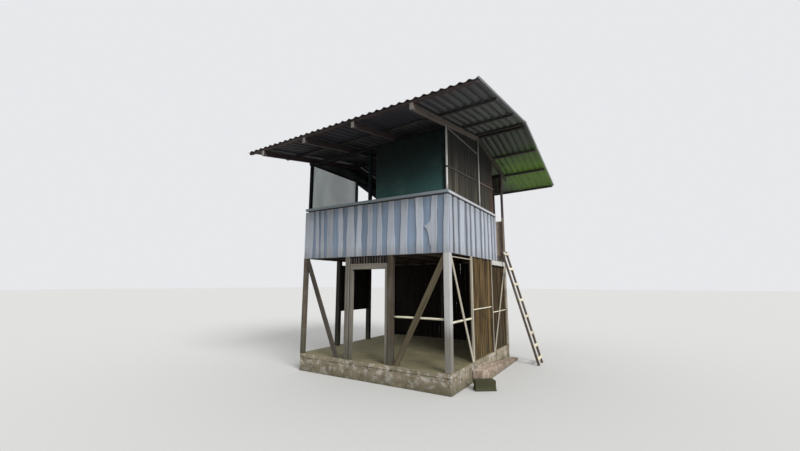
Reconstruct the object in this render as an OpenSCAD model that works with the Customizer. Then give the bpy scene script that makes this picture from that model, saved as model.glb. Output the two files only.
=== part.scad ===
// Two-storey hut on timber posts: slab base, open ground storey, boarded and netted upper room,
// corrugated roof with wide eaves and a leaning ladder.
// Every shape is placed in house coordinates: x = 0 is the right wall's outer face with the walls
// on the negative side, y = 0 is the front wall's outer face, z = 0 is the top of the slab.

/* [Walls in plan] */
// Width of the walls, left to right
house_w = 3950; // [3750:10:4150]
// Depth of the walls, front to back
house_d = 4020; // [3940:20:4200]

/* [Base] */
// Height of the foundation, from the lowest ground to the slab's top
base_h = 400; // [360:10:600]
// Thickness of the slab
slab_t = 100; // [80:5:120]
// Thickness of the foundation walls
foundation_t = 150; // [120:10:200]

/* [Ground storey] */
// Height from the slab to the floor beams
storey_h = 2257; // [2200:1:2350]
// Side of the square front right post
corner_post = 125; // [100:5:150]
// Height of the door opening
door_h = 1966; // [1900:1:2000]
// Width of each stud on the right
stud_w = 50; // [40:5:80]

/* [Floor and parapet] */
// Height of the floor beams and joists
beam_h = 140; // [120:5:160]
// Thickness of the floor beams and joists
beam_t = 50; // [40:5:60]
// Thickness of the deck
deck_t = 25; // [20:1:30]
// Height of the cladding boards
cladding_h = 1213; // [1100:1:1300]
// Height of the cap rail
cap_h = 60; // [50:5:80]
// Thickness of the pale wavy boards
pale_t = 20; // [15:1:25]
// Thickness of the blue boards behind them
blue_t = 25; // [20:1:30]
// Depth of the cladding on the sides, up to the ladder's entry
side_cladding_d = 3220; // [3100:10:3300]
// Height of the open slot between the boards and the cap rail
slot_h = 35; // [20:5:60]

/* [Roof] */
// Height of the rafters' underside over the front right corner, above the slab
seat_h = 4875; // [4800:5:4950]
// Pitch of both slopes, in degrees
roof_pitch = 10.3; // [9:0.1:12]
// Fall of the whole roof towards the left, in degrees
roof_fall = 1.5; // [0:0.1:2]
// Distance of the ridge behind the front wall
ridge_y = 2007; // [1990:1:2030]
// Overhang past the front wall
front_eave = 1460; // [1200:10:1500]
// Overhang past the back wall
back_eave = 1680; // [1400:10:1700]
// Overhang past the right wall
right_verge = 1200; // [1000:10:1300]
// Overhang past the left wall
left_verge = 500; // [450:10:700]
// Depth of a rafter
rafter_d = 120; // [100:5:140]
// Thickness of a rafter
rafter_t = 65; // [65:1:75]
// Height of a purlin
purlin_h = 40; // [30:1:45]
// Spacing of the corrugations
wave_pitch = 158; // [140:1:180]
// Height of the corrugations
wave_h = 28; // [20:1:36]

/* [Ladder] */
// Length of the ladder's rails
ladder_len = 3080; // [3000:10:3120]
// Lean from the vertical, in degrees
ladder_lean = 15.5; // [14:0.5:17]
// Number of rungs
rungs = 8; // [7:1:8]
// Spacing of the rungs
rung_step = 437; // [400:1:440]
// Spacing of the two lowest rungs
low_rung_step = 318; // [280:1:360]

/* [Hidden] */
$fn = 40;
skin_t = pale_t + blue_t;
floor_z = storey_h + beam_h + deck_t;
clad_top = storey_h + cladding_h;
cap_top = clad_top + cap_h;
board_h = cladding_h - slot_h;
left_x = -house_w;

// Door frame and front bay, from the left
left_door_post_x = -2600;
left_door_post_w = 110;
jamb_x = -2466;
jamb_w = 70;
door_post_x = -1441;
door_post_w = 130;
door_post_d = 100;
header_h = 125;
header_y = 15;
header_d = 70;
door_board_t = 25;
door_board_y = 25;
left_post_w = 100;

// Studs of the side walls: distance of their front faces behind the front wall
stud_ys = [1234, 2627];
left_stud = [125, 100];
back_post_d = 125;
back_post_y = house_d - back_post_d;
back_board_t = 25;
back_face = house_d - back_board_t;
batten_t = 15;
batten_w = 70;
batten_zs = [420, 1700];
back_boards = 26;
back_board_gap = 5;
back_board_gap_spread = 3;
back_board_gap_turn = 137;
panel_inset = 80;
panel_z = [900, 2150];

// Bracing and rails between the posts: each brace has the middles of its upper and lower end
brace_y = 20;
brace_w = 120;
brace_t = 35;
right_front_brace = [[-141, 2114], [-1231, 28]];
left_front_brace = [[-3805, 2129], [-2850, 46]];
side_brace_ws = [70, 45];
side_brace_t = 17;
front_side_brace = [[130, 2146], [1186, 27]];
back_side_brace = [[3860, 2110], [2760, 30]];
rail_r = 22;
side_rail_r = 14;
front_rail_z = 964;
right_rail_z = [902, 1081, 939];
lath_t = 20;
lath_drop = 60;
cane_t = 25;

// White board under the ladder's entry
entry_t = 20;
entry_y = [2680, 3850];
entry_z = [2130, 2250];

// Front row of pale boards, on a row this long: for each the foot's middle from the left end, the
// width, the top's shift to the right and how much the width tapers
front_row_w = 3950;
front_pale = [[140, 280, 0, 0], [440, 106, -30, 0], [610, 102, -30, 0], [850, 190, -20, 0],
    [1180, 140, -15, 10], [1480, 215, -5, 50], [1720, 145, 15, 20], [2020, 135, 15, 15],
    [2285, 118, 15, 55], [2595, 170, 5, 45], [2910, 165, 25, 5], [3300, 160, -10, 0],
    [3605, 125, 45, -10], [3895, 120, 25, 0]];

// Stub of a branch that one of them kept: its outline from the middle of the board's foot
branch_board = 12;
branch = [[0, 150], [-70, 150], [-85, 250], [-101, 360], [-116, 420], [-141, 492], [-192, 549],
    [-192, 572], [-139, 590], [-72, 646], [-55, 692], [-33, 820], [0, 820]];

// Side rows: widths of the boards in turn, each with an open slit behind it and a pale board
// that covers a share of it, around a place at another share of its width
side_widths = [240, 300, 430, 270, 300, 420, 240, 300, 270, 250, 200];
slit_w = 22;
pale_share = 0.54;
pale_middle = 0.36;

// Reach of the cap rails past the boards
cap_over = 5;

// Natural board edges: two waves with their reach, their degrees per millimetre and their start
edge_reach = [8, 4];
edge_turn = [0.25, 0.66];
edge_start = [97, 211];

// Roof build-up, measured square to the slope
slope = tan(roof_pitch);
square_up = 1 / cos(roof_pitch);
sheet_t = 4;
plate_w = 60;
plate_h = 60;
roof_left = left_x - left_verge;
roof_length = house_w + left_verge + right_verge;
roof_back = house_d + back_eave;
rafter_inset = 30;
short_rafter_end = 4480;
rafter_xs = [for (i = [0:3]) -i * (house_w - rafter_t) / 3 - rafter_t];
purlin_w = 70;
purlin_inset = 50;
front_purlin_ys = [-1390, -300, 950, ridge_y - 90];
back_purlin_ys = [ridge_y + 90, 3250, 4400, roof_back - 60];
lap_y = 3330;
lap_len = 150;
ridge_gap = 12;
ridge_cap_w = 190;
ridge_cap_t = 3;

// Middle of the roof in plan, once it has fallen to the left: its peak leads there, and the
// foot of the back eave leads on the right
peak_z = slope * ridge_y
    + (rafter_d + purlin_h + wave_h + 2 * sheet_t + ridge_cap_t) * square_up;
eave_z = slope * (2 * ridge_y - roof_back) + (rafter_d + purlin_h) * square_up;
roof_mid_x = ((right_verge + roof_left) * cos(roof_fall) - (peak_z + eave_z) * sin(roof_fall)) / 2;

// Upper posts, poles and nets
upper_post = 70;
upper_mid_x = -2015;
upper_corner_x = -125;
pole_r = 20;
pole_c = 22;
right_pole_y = 1971;
left_mid_y = 1915;
tie_t = 35;
tie_h = 45;
right_tie = [-10, 15];
ledge_t = 20;
ledge_drop = 65;
net_t = 6;
net_hold = 40;
upper_board_t = 20;
upper_board_foot = 70;
upper_board_end = 3180;
sloping_lath = [[204, 4041], [3529, 4262]];
sloping_lath_w = 30;
pole_gap = 5;
back_gap = [-244, -45];
back_gap_top = 4330;
front_net_inset = 225;
gable_net_fold = [4670, 4220];

// Ladder
ladder_y = 3780;
ladder_half = 210;
ladder_rail = 55;
rung_t = 25;
rung_h = 70;
rung_over = 15;
first_rung = 165;

// Puts the origin under the middle of the roof's plan, on the lowest ground
module placed() {
    translate([-roof_mid_x, -(roof_back - front_eave) / 2, base_h]) children();
}

// A box from one corner to the opposite one
module box(low, high) {
    translate(low) cube(high - low);
}

// Extrudes an outline drawn in y and z along x
module along_x(x0, length) {
    translate([x0, 0, 0]) rotate([90, 0, 90]) linear_extrude(length) children();
}

// Extrudes an outline drawn in x and z along y, from y0 towards the back
module along_y(y0, length) {
    translate([0, y0 + length, 0]) rotate([90, 0, 0]) linear_extrude(length) children();
}

// The roof's own frame: x and y as the house, z = 0 at the rafters' underside over the front wall
module roof_frame() {
    translate([0, 0, seat_h]) rotate([0, -roof_fall, 0]) children();
}

// Height of the rafters' underside in the roof's frame
function under(y) = slope * (y < ridge_y ? y : 2 * ridge_y - y);

// Height of the roof frame's z in house coordinates at a given x
function fallen(x, z) = seat_h + z / cos(roof_fall) + x * tan(roof_fall);

// Everything above the rafters' underside, used to trim walls and posts to the roof
module rafter_space() {
    reach = 3000;
    roof_frame() along_x(roof_left - reach, roof_length + 2 * reach) polygon([
        [-reach, under(-reach)], [ridge_y, under(ridge_y)],
        [roof_back + reach, under(roof_back + reach)],
        [roof_back + reach, reach], [-reach, reach]]);
}

module under_roof() {
    difference() {
        children();
        rafter_space();
    }
}

// Base

module floor_slab() {
    color("#8f8d86") box([left_x, 0, -slab_t], [0, house_d, 0]);
}

module long_foundation_walls() {
    color("#85837c") for (y = [0, house_d - foundation_t])
        box([left_x, y, -base_h], [0, y + foundation_t, -slab_t]);
}

module side_foundation_walls() {
    color("#85837c") for (x = [left_x, -foundation_t])
        box([x, foundation_t, -base_h], [x + foundation_t, house_d - foundation_t, -slab_t]);
}

// Rough footing that shows as the ground falls to the back, and the block that is a step
module right_footing() {
    footing_w = 220;
    footing_y = 1100;
    footing_tops = [-120, -335];
    block = [420, 200, 200];
    block_at = [250, 560, -base_h];
    block_turn = 35;
    color("#9a7f74") along_x(0, footing_w) polygon([
        [footing_y, -base_h], [house_d, -base_h], [house_d, footing_tops[1]],
        [footing_y, footing_tops[0]]]);
    color("#7d7c74") translate(block_at) rotate([0, 0, block_turn]) cube(block);
}

// Ground storey

module front_right_post() {
    color("#b8b7bc") box([-corner_post, 0, 0], [0, corner_post, storey_h]);
}

module front_left_post() {
    color("#7b756b") box([left_x, 0, 0], [left_x + left_post_w, left_post_w, storey_h]);
}

module door_posts() {
    color("#8a8078") box([left_door_post_x, 0, 0],
        [left_door_post_x + left_door_post_w, door_post_d, storey_h]);
    color("#7a6555") box([door_post_x, 0, 0],
        [door_post_x + door_post_w, door_post_d, storey_h]);
}

module door_jambs() {
    color("#a49e93") for (x = [jamb_x, door_post_x - jamb_w])
        box([x, header_y, 0], [x + jamb_w, header_y + header_d, door_h]);
}

module door_header() {
    color("#a49e93") box([jamb_x, header_y, door_h],
        [door_post_x, header_y + header_d, door_h + header_h]);
}

module over_door_boards() {
    color("#6f6254") box([jamb_x, door_board_y, door_h + header_h],
        [door_post_x, door_board_y + door_board_t, storey_h]);
}

module back_lower_posts() {
    color("#5f5548") for (x = [left_x + skin_t, upper_mid_x])
        box([x, back_face - batten_t - left_post_w, 0],
            [x + left_post_w, back_face - batten_t, storey_h]);
}

module back_right_post() {
    color("#6d5f50") under_roof()
        box([-skin_t, back_post_y, 0], [0, house_d, seat_h + base_h]);
}

module side_studs() {
    color("#bdb7a6") for (y = stud_ys) {
        box([-skin_t, y, 0], [0, y + stud_w, storey_h]);
        box([left_x, y, 0], [left_x + left_stud[0], y + left_stud[1], storey_h]);
    }
}

// A straight board from one point to another in a plane, drawn in two coordinates
module board_line(from, to, width) {
    run = to - from;
    reach = norm(run) + 2 * width;
    translate(from) rotate(atan2(run[1], run[0]))
        translate([-width, -width / 2]) square([reach, width]);
}

// A brace cut off square at both ends of its bay
module bay_brace(line, width, bay) {
    intersection() {
        board_line(line[0], line[1], width);
        translate([bay[0], 0]) square([bay[1] - bay[0], storey_h]);
    }
}

module front_braces() {
    right_bay = [door_post_x + door_post_w, -corner_post];
    left_bay = [left_x + left_post_w, left_door_post_x];
    color("#8b8373") {
        along_y(brace_y, brace_t) bay_brace(right_front_brace, brace_w, right_bay);
        along_y(brace_y, brace_t) bay_brace(left_front_brace, brace_w, left_bay);
    }
}

// Braces in the front and back bay, and a lath behind the first one under the cladding
module side_braces() {
    front_bay = [corner_post, stud_ys[0]];
    back_bay = [stud_ys[1] + stud_w, back_post_y];
    lath_z = storey_h - lath_drop;
    color("#bdb7a6") {
        along_x(-side_brace_t, side_brace_t)
            bay_brace(front_side_brace, side_brace_ws[0], front_bay);
        along_x(-side_brace_t, side_brace_t)
            bay_brace(back_side_brace, side_brace_ws[1], back_bay);
        box([-side_brace_t - lath_t, front_bay[0], lath_z - lath_t],
            [-side_brace_t, front_bay[1], lath_z]);
    }
}

module lower_rails() {
    rail_y = brace_y + brace_t + rail_r;
    front_x = door_post_x + door_post_w;
    ys = [corner_post, stud_ys[0], stud_ys[1], back_post_y];
    color("#b5ab8c") {
        translate([front_x, rail_y, front_rail_z]) rotate([0, 90, 0])
            cylinder(r = rail_r, h = -corner_post - front_x);
        for (i = [0:2]) {
            start = ys[i] + (i > 0 ? stud_w : 0);
            radius = i > 0 ? side_rail_r : rail_r;
            translate([-side_brace_t - radius, start, right_rail_z[i]]) rotate([-90, 0, 0])
                cylinder(r = radius, h = ys[i + 1] - start);
        }
    }
}

module right_lower_wall() {
    color("#6f5c40") box([-skin_t - cane_t, stud_ys[0], 0],
        [-skin_t, back_face - batten_t, storey_h]);
}

// Upright boards with narrow gaps between them, on two battens
module back_lower_wall() {
    step = (house_w - skin_t) / back_boards;
    color("#4a3f31") {
        for (i = [0:back_boards - 1]) {
            gap = back_board_gap + back_board_gap_spread * sin(i * back_board_gap_turn);
            box([left_x + i * step, back_face, 0],
                [left_x + (i + 1) * step - gap, house_d, storey_h]);
        }
        for (z = batten_zs)
            box([left_x, back_face - batten_t, z], [-skin_t - cane_t, back_face, z + batten_w]);
    }
}

module left_lower_panel() {
    x = left_x + panel_inset;
    color("#3f3529") box([x, stud_ys[0] + left_stud[1], panel_z[0]],
        [x + cane_t, stud_ys[1], panel_z[1]]);
}

// Floor

module floor_beams() {
    x0 = left_x + skin_t;
    color("#6a5f50") {
        box([x0, skin_t, storey_h], [-skin_t, skin_t + beam_t, storey_h + beam_h]);
        box([x0, back_face - beam_t, storey_h], [-skin_t, back_face, storey_h + beam_h]);
    }
}

module floor_joists() {
    joists = 7;
    x0 = left_x + skin_t;
    step = (house_w - 2 * skin_t - beam_t) / (joists - 1);
    color("#6a5f50") for (i = [0:joists - 1])
        box([x0 + i * step, skin_t + beam_t, storey_h],
            [x0 + i * step + beam_t, back_face - beam_t, storey_h + beam_h]);
}

module floor_deck() {
    color("#75654f") box([left_x + skin_t, skin_t, storey_h + beam_h],
        [-skin_t, back_face, floor_z]);
}

module entry_board() {
    color("#c9c6c2") box([0, entry_y[0], entry_z[0]], [entry_t, entry_y[1], entry_z[1]]);
}

// Parapet cladding

// Offset of a natural board edge at height z, different for each board and side
function wavy(z, seed) = edge_reach[0] * sin(z * edge_turn[0] + seed * edge_start[0])
    + edge_reach[1] * sin(z * edge_turn[1] + seed * edge_start[1]);

// One upright board with both natural edges, drawn in width and height
module natural_board(seed, width, lean = 0, taper = 0) {
    steps = 12;
    other_edge = 40;
    function half(share) = (width + taper * (0.5 - share)) / 2;
    left = [for (i = [0:steps]) let (z = i * board_h / steps)
        [lean * i / steps - half(i / steps) + wavy(z, seed), z]];
    right = [for (i = [steps:-1:0]) let (z = i * board_h / steps)
        [lean * i / steps + half(i / steps) + wavy(z, seed + other_edge), z]];
    polygon(concat(left, right));
}

// Where the side board with this number starts, and how many fit on a wall
function side_start(i) = i == 0 ? 0 : side_start(i - 1) + side_widths[(i - 1) % len(side_widths)];
function side_count(length, i = 1) = side_start(i) < length ? side_count(length, i + 1) : i;

// Straight boards of a side row with open slits between them, drawn in width and height
module side_backing(length) {
    count = side_count(length);
    for (i = [0:count - 1]) {
        end = i < count - 1 ? side_start(i + 1) - slit_w : length;
        translate([side_start(i), 0]) square([end - side_start(i), board_h]);
    }
}

// Pale natural boards over a side row
module side_cover(length, seed) {
    intersection() {
        union() for (i = [0:side_count(length) - 1]) {
            width = side_start(i + 1) - side_start(i);
            translate([side_start(i) + width * pale_middle, 0])
                natural_board(seed + i, width * pale_share);
        }
        square([length, board_h]);
    }
}

module front_blue_boards() {
    color("#7e8fa3") box([left_x, pale_t, storey_h], [0, skin_t, storey_h + board_h]);
}

// Natural boards, with the first and last cut straight at the wall's ends
module front_pale_boards() {
    color("#a9aeba") translate([left_x, 0, storey_h]) along_y(0, pale_t) intersection() {
        union() for (i = [0:len(front_pale) - 1]) {
            one = front_pale[i];
            translate([one[0] * house_w / front_row_w, 0]) {
                natural_board(i, one[1], one[2], one[3]);
                if (i == branch_board) polygon(branch);
            }
        }
        square([house_w, board_h]);
    }
}

module side_blue_boards() {
    color("#8fa0b8") translate([0, skin_t, storey_h]) {
        along_x(-skin_t, blue_t) side_backing(side_cladding_d - skin_t);
        along_x(left_x + pale_t, blue_t) side_backing(house_d - skin_t);
    }
}

module side_pale_boards() {
    right_seed = 30;
    left_seed = 60;
    color("#c3c7d4") translate([0, skin_t, storey_h]) {
        along_x(-pale_t, pale_t) side_cover(side_cladding_d - skin_t, right_seed);
        along_x(left_x, pale_t) side_cover(house_d - skin_t, left_seed);
    }
}

// The rail, and the ledges between the posts that close the slot from inside
module front_cap_rail() {
    bays = [[left_x + skin_t + upper_post, upper_mid_x], [upper_mid_x + upper_post, upper_corner_x]];
    color("#8e99a5") {
        box([left_x - cap_over, -cap_over, clad_top], [cap_over, skin_t, cap_top]);
        for (bay = bays)
            box([bay[0], skin_t, clad_top - ledge_drop], [bay[1], skin_t + ledge_t, clad_top]);
    }
}

module side_cap_rails() {
    color("#bfc3cb") {
        box([-skin_t, skin_t, clad_top], [cap_over, side_cladding_d, cap_top]);
        box([left_x - cap_over, skin_t, clad_top], [left_x + skin_t, house_d, cap_top]);
    }
}

// Upper frame

// Upright posts that stand on the deck and stop under the plates
module upper_posts() {
    back_y = back_face - upper_post;
    left_post = left_x + skin_t;
    places = [[left_post, skin_t], [upper_mid_x, skin_t], [upper_corner_x, skin_t],
        [left_post, back_y], [upper_mid_x, back_y], [left_post, left_mid_y]];
    color("#4d463e") difference() {
        for (p = places)
            box([p[0], p[1], floor_z], [p[0] + upper_post, p[1] + upper_post, seat_h]);
        roof_frame() box([left_x * 2, -house_d, -plate_h], [house_w, 2 * house_d, house_d]);
    }
}

module right_side_poles() {
    color("#c8c8c6") under_roof() for (y = [pole_c, right_pole_y])
        translate([-pole_c, y, cap_top]) cylinder(r = pole_r, h = seat_h - cap_top + base_h);
}

module wall_plates() {
    plate_ys = [skin_t, back_face - plate_w];
    color("#5a5146") roof_frame() for (y = plate_ys)
        along_x(left_x, house_w - skin_t) polygon([
            [y, -plate_h], [y + plate_w, -plate_h],
            [y + plate_w, under(y + plate_w)], [y, under(y)]]);
}

// The tie between the plates on the left, and a thin one up to the pole on the right
module side_ties() {
    front = skin_t + plate_w;
    back = back_face - plate_w;
    right_edge = pole_gap - pole_c;
    color("#8a8273") roof_frame() {
        box([-skin_t, front, right_tie[0]],
            [right_edge, right_pole_y - pole_r - pole_gap, right_tie[1]]);
        box([left_x + skin_t, front, -plate_h],
            [left_x + skin_t + tie_t, back, tie_h - plate_h]);
    }
}

// Upright boards from the rail to the rafter, with a sloping lath outside, cut at the pole
module right_upper_boards() {
    start = skin_t + upper_post;
    foot = clad_top - upper_board_foot;
    pole = pole_r + pole_gap;
    bays = [[start, right_pole_y - pole], [right_pole_y + pole, upper_board_end]];
    color("#54493c") {
        under_roof() box([-skin_t - upper_board_t, start, foot],
            [-skin_t, upper_board_end, seat_h + base_h]);
        for (bay = bays)
            along_x(-skin_t, upper_board_t) intersection() {
                board_line(sloping_lath[0], sloping_lath[1], sloping_lath_w);
                translate([bay[0], 0]) square([bay[1] - bay[0], seat_h]);
            }
    }
}

// Upright boards with an open gap beside the back right post
module back_upper_boards() {
    color("#4b4136") under_roof() along_y(back_face, back_board_t) polygon([
        [left_x + skin_t, storey_h], [back_gap[1], storey_h], [back_gap[1], clad_top],
        [back_gap[0], clad_top], [back_gap[0], back_gap_top], [back_gap[1], back_gap_top],
        [back_gap[1], seat_h], [left_x + skin_t, seat_h]]);
}

// Shade nets, from the cap rail to the plate or tie

module front_shade_net() {
    x0 = upper_mid_x + front_net_inset;
    x1 = -skin_t;
    top = net_hold - plate_h;
    color("#26423c") along_y(skin_t - net_t, net_t) polygon([
        [x0, cap_top], [x1, cap_top], [x1, fallen(x1, top)], [x0, fallen(x0, top)]]);
}

module left_shade_net() {
    x = left_x + skin_t;
    top = fallen(x, net_hold - plate_h);
    color("#4a7566") along_x(x - net_t, net_t) polygon([
        [skin_t, cap_top], [left_mid_y + upper_post / 2, cap_top],
        [left_mid_y + upper_post / 2, top], [skin_t, top]]);
}

// Closes the gable above the tie, and hangs as a slanting fold over the open back bay
module back_left_shade_net() {
    x = left_x + skin_t;
    front = skin_t + plate_w;
    back = back_face - plate_w;
    top = fallen(x, net_hold - plate_h);
    fold = left_mid_y + upper_post / 2;
    color("#1f332e") under_roof() along_x(x - net_t, net_t) polygon([
        [front, top], [fold, top], [fold, gable_net_fold[0]], [back, gable_net_fold[1]],
        [back, seat_h + base_h], [front, seat_h + base_h]]);
}

// Roof

// A sloping member from the ridge to the eave at y_end, drawn in y and z
module rafter_outline(y_end) {
    top = rafter_d * square_up;
    polygon([[y_end, under(y_end)], [ridge_y, under(ridge_y)],
        [ridge_y, under(ridge_y) + top], [y_end, under(y_end) + top]]);
}

module front_rafters() {
    color("#7d7468") roof_frame() for (x = rafter_xs)
        along_x(x, rafter_t) rafter_outline(-front_eave + rafter_inset);
}

// The one over the right wall stops just past the back wall
module back_rafters() {
    color("#6e6558") roof_frame() for (x = rafter_xs)
        along_x(x, rafter_t)
            rafter_outline(x == rafter_xs[0] ? short_rafter_end : roof_back - rafter_inset);
}

// A purlin's square section on the rafters' top at y, turned to the slope
module purlin_section(y, height) {
    turn = y < ridge_y ? roof_pitch : -roof_pitch;
    translate([y, under(y) + rafter_d * square_up]) rotate(turn)
        translate([-purlin_w / 2, 0]) square([purlin_w, height]);
}

module roof_purlins() {
    color("#4f473c") roof_frame() {
        for (y = front_purlin_ys)
            along_x(roof_left + purlin_inset, roof_length - 2 * purlin_inset)
                purlin_section(y, purlin_h);
        for (y = back_purlin_ys)
            along_x(roof_left + purlin_inset, roof_length - 2 * purlin_inset)
                purlin_section(y, purlin_h + (y < lap_y - lap_len ? sheet_t : 0));
    }
}

// Height of the corrugated sheet's underside, at a share of the way along one wave
function wave(share) = wave_h * (0.5 - 0.5 * cos(360 * share)) * (0.75 - 0.25 * cos(360 * share));

// Outline of a corrugated sheet in width and height, with whole waves from a crest at one verge
// to a crest at the other
module corrugation() {
    steps = 8;
    crest = 0.5;
    waves = floor(roof_length / wave_pitch);
    pitch = roof_length / waves;
    last = waves * steps;
    lower = [for (i = [0:last]) [i * pitch / steps, wave(i / steps + crest)]];
    upper = [for (i = [last:-1:0]) [i * pitch / steps, wave(i / steps + crest) + sheet_t]];
    translate([roof_left, 0]) polygon(concat(lower, upper));
}

// A course of sheets on the front slope, between two distances down from the ridge
module sheet_course(from, to, lift) {
    seat = (rafter_d + purlin_h + lift);
    translate([0, ridge_y, under(ridge_y) + seat * square_up]) rotate([90 + roof_pitch, 0, 0])
        translate([0, 0, from]) linear_extrude(to - from) corrugation();
}

// Distance down the slope from the ridge to a place at y
function down_slope(y) = abs(y - ridge_y) * square_up;

module front_roof_sheets() {
    color("#70767a") roof_frame() sheet_course(ridge_gap, down_slope(-front_eave), 0);
}

module back_roof_sheets() {
    color("#6d7458") roof_frame() translate([0, ridge_y, 0]) mirror([0, 1, 0])
        translate([0, -ridge_y, 0]) {
            sheet_course(ridge_gap, down_slope(lap_y), sheet_t);
            sheet_course(down_slope(lap_y - lap_len), down_slope(roof_back), 0);
        }
}

// Folded cap over the ridge, resting on the crests
module ridge_cap() {
    seat = (rafter_d + purlin_h + wave_h + 2 * sheet_t) * square_up;
    peak = under(ridge_y) + seat;
    thick = ridge_cap_t * square_up;
    color("#8b9094") roof_frame() along_x(roof_left, roof_length) polygon([
        [ridge_y - ridge_cap_w, peak - ridge_cap_w * slope], [ridge_y, peak],
        [ridge_y + ridge_cap_w, peak - ridge_cap_w * slope],
        [ridge_y + ridge_cap_w, peak - ridge_cap_w * slope + thick], [ridge_y, peak + thick],
        [ridge_y - ridge_cap_w, peak - ridge_cap_w * slope + thick]]);
}

// Ladder

// The ladder's own frame: z up along the rails, x = 0 at their outer face
module ladder_frame() {
    foot_x = ladder_rail * cos(ladder_lean) + ladder_len * sin(ladder_lean);
    translate([foot_x, ladder_y, -base_h]) rotate([0, -ladder_lean, 0]) children();
}

module ladder_rails() {
    color("#5a4a3c") difference() {
        ladder_frame() for (y = [-ladder_half, ladder_half])
            box([-ladder_rail, y - ladder_rail / 2, -ladder_rail],
                [0, y + ladder_rail / 2, ladder_len]);
        box([-house_w, 0, -2 * base_h], [house_w, 2 * house_d, -base_h]);
    }
}

// Height of a rung along the rails
function rung_place(i) = first_rung + min(i, 2) * low_rung_step + max(i - 2, 0) * rung_step;

module ladder_rungs() {
    half = ladder_half + ladder_rail / 2 + rung_over;
    color("#c6bd9f") ladder_frame() for (i = [0:rungs - 1])
        box([0, -half, rung_place(i) - rung_h / 2], [rung_t, half, rung_place(i) + rung_h / 2]);
}

placed() floor_slab();
placed() long_foundation_walls();
placed() side_foundation_walls();
placed() right_footing();
placed() front_right_post();
placed() front_left_post();
placed() door_posts();
placed() door_jambs();
placed() door_header();
placed() over_door_boards();
placed() back_lower_posts();
placed() back_right_post();
placed() side_studs();
placed() front_braces();
placed() side_braces();
placed() lower_rails();
placed() right_lower_wall();
placed() back_lower_wall();
placed() left_lower_panel();
placed() floor_beams();
placed() floor_joists();
placed() floor_deck();
placed() entry_board();
placed() front_blue_boards();
placed() front_pale_boards();
placed() side_blue_boards();
placed() side_pale_boards();
placed() front_cap_rail();
placed() side_cap_rails();
placed() upper_posts();
placed() right_side_poles();
placed() wall_plates();
placed() side_ties();
placed() right_upper_boards();
placed() back_upper_boards();
placed() front_shade_net();
placed() left_shade_net();
placed() back_left_shade_net();
placed() front_rafters();
placed() back_rafters();
placed() roof_purlins();
placed() front_roof_sheets();
placed() back_roof_sheets();
placed() ridge_cap();
placed() ladder_rails();
placed() ladder_rungs();
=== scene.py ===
import math

import bmesh
import bpy
from mathutils import Matrix, Vector, noise


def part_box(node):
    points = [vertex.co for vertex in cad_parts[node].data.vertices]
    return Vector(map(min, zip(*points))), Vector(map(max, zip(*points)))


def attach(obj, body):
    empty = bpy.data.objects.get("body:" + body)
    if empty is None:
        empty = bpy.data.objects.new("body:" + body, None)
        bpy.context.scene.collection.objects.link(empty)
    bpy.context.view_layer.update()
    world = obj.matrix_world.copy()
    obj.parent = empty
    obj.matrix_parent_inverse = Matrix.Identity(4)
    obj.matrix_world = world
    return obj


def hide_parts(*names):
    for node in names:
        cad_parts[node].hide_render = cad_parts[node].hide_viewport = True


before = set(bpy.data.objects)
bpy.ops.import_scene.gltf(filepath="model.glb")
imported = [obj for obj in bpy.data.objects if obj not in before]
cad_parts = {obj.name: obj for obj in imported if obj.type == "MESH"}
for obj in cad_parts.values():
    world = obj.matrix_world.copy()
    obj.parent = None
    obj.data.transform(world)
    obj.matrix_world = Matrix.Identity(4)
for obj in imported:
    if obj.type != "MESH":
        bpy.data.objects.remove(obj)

bl_info = {
    "name": "Stilt house",
    "version": (1, 0, 0),
    "blender": (4, 5, 0),
    "location": "3D View > Sidebar > Stilt house",
    "description": "Boards, nets, roof sheets and finishes of a two-storey timber hut",
    "category": "Object",
}

# The right front corner of the walls on top of the slab: house coordinates start there
SLAB_LOW, SLAB_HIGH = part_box("floor_slab")
HOUSE = Vector((SLAB_HIGH.x, SLAB_LOW.y, SLAB_HIGH.z))
AXES = (Vector((1, 0, 0)), Vector((0, 1, 0)), Vector((0, 0, 1)))
UP = AXES[2]
MIDDLE_X = (SLAB_LOW.x + SLAB_HIGH.x) / 2

# The roof's own frame, in metres and degrees as in the part's source
SEAT_H = 4.875
RIDGE_Y = 2.007
ROOF_PITCH = math.radians(10.3)
ROOF_FALL = math.radians(1.5)
RAFTER_D = 0.120
PURLIN_H = 0.040
WAVE_H = 0.028
SHEET_T = 0.004
ROOF_LEFT = -4.450
ROOF_LENGTH = 5.650
WAVES = 35
WAVE_PITCH = ROOF_LENGTH / WAVES
CREST = 0.5
FRONT_EAVE_Y = -1.460
BACK_EAVE_Y = 5.700
LAP_Y = 3.330
LAP_LENGTH = 0.150
RIDGE_GAP = 0.012
FRONT_PURLIN_YS = (-1.390, -0.300, 0.950, 1.917)
BACK_PURLIN_YS = (2.097, 3.250, 4.400, 5.640)
ROOF_FRAME = Matrix.Translation(HOUSE + UP * SEAT_H) @ Matrix.Rotation(-ROOF_FALL, 4, "Y")

# Walls and ladder, in metres and degrees as in the part's source
SKIN_T = 0.045
STOREY_Z = 2.257
RAIL_Z = 3.470
BACK_BOARDS = 26
BACK_BOARD_T = 0.025
BATTEN_ZS = (0.420, 1.700)
BATTEN_H = 0.070
BATTEN_END_X = 0.070
UPPER_BOARD_T = 0.020
BACK_GAP_X = 0.244
BACK_GAP_TOP_Z = 4.330
SECOND_STUD_Y = 2.627
POLE_C = 0.022
RUNG_T = 0.025
LADDER_LEAN = math.radians(15.5)

# Where the boards of the right side change, behind the front wall: the slabs beyond BACK_BAY_Y
# take a darker copy as painted shade, and the upper boards beyond LAST_BAY_Y are reddish
BACK_BAY_Y = 2.65
LAST_BAY_Y = 2.80

# Boards and laths that only this script has: widths, seams and the spacing of cuts along them
SLAB_W = 0.165
SLAB_ROW = 0.11
LONG_ROW = 0.6
BACK_SEAM = 0.0003
LATH_W, LATH_T = 0.030, 0.020

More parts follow.
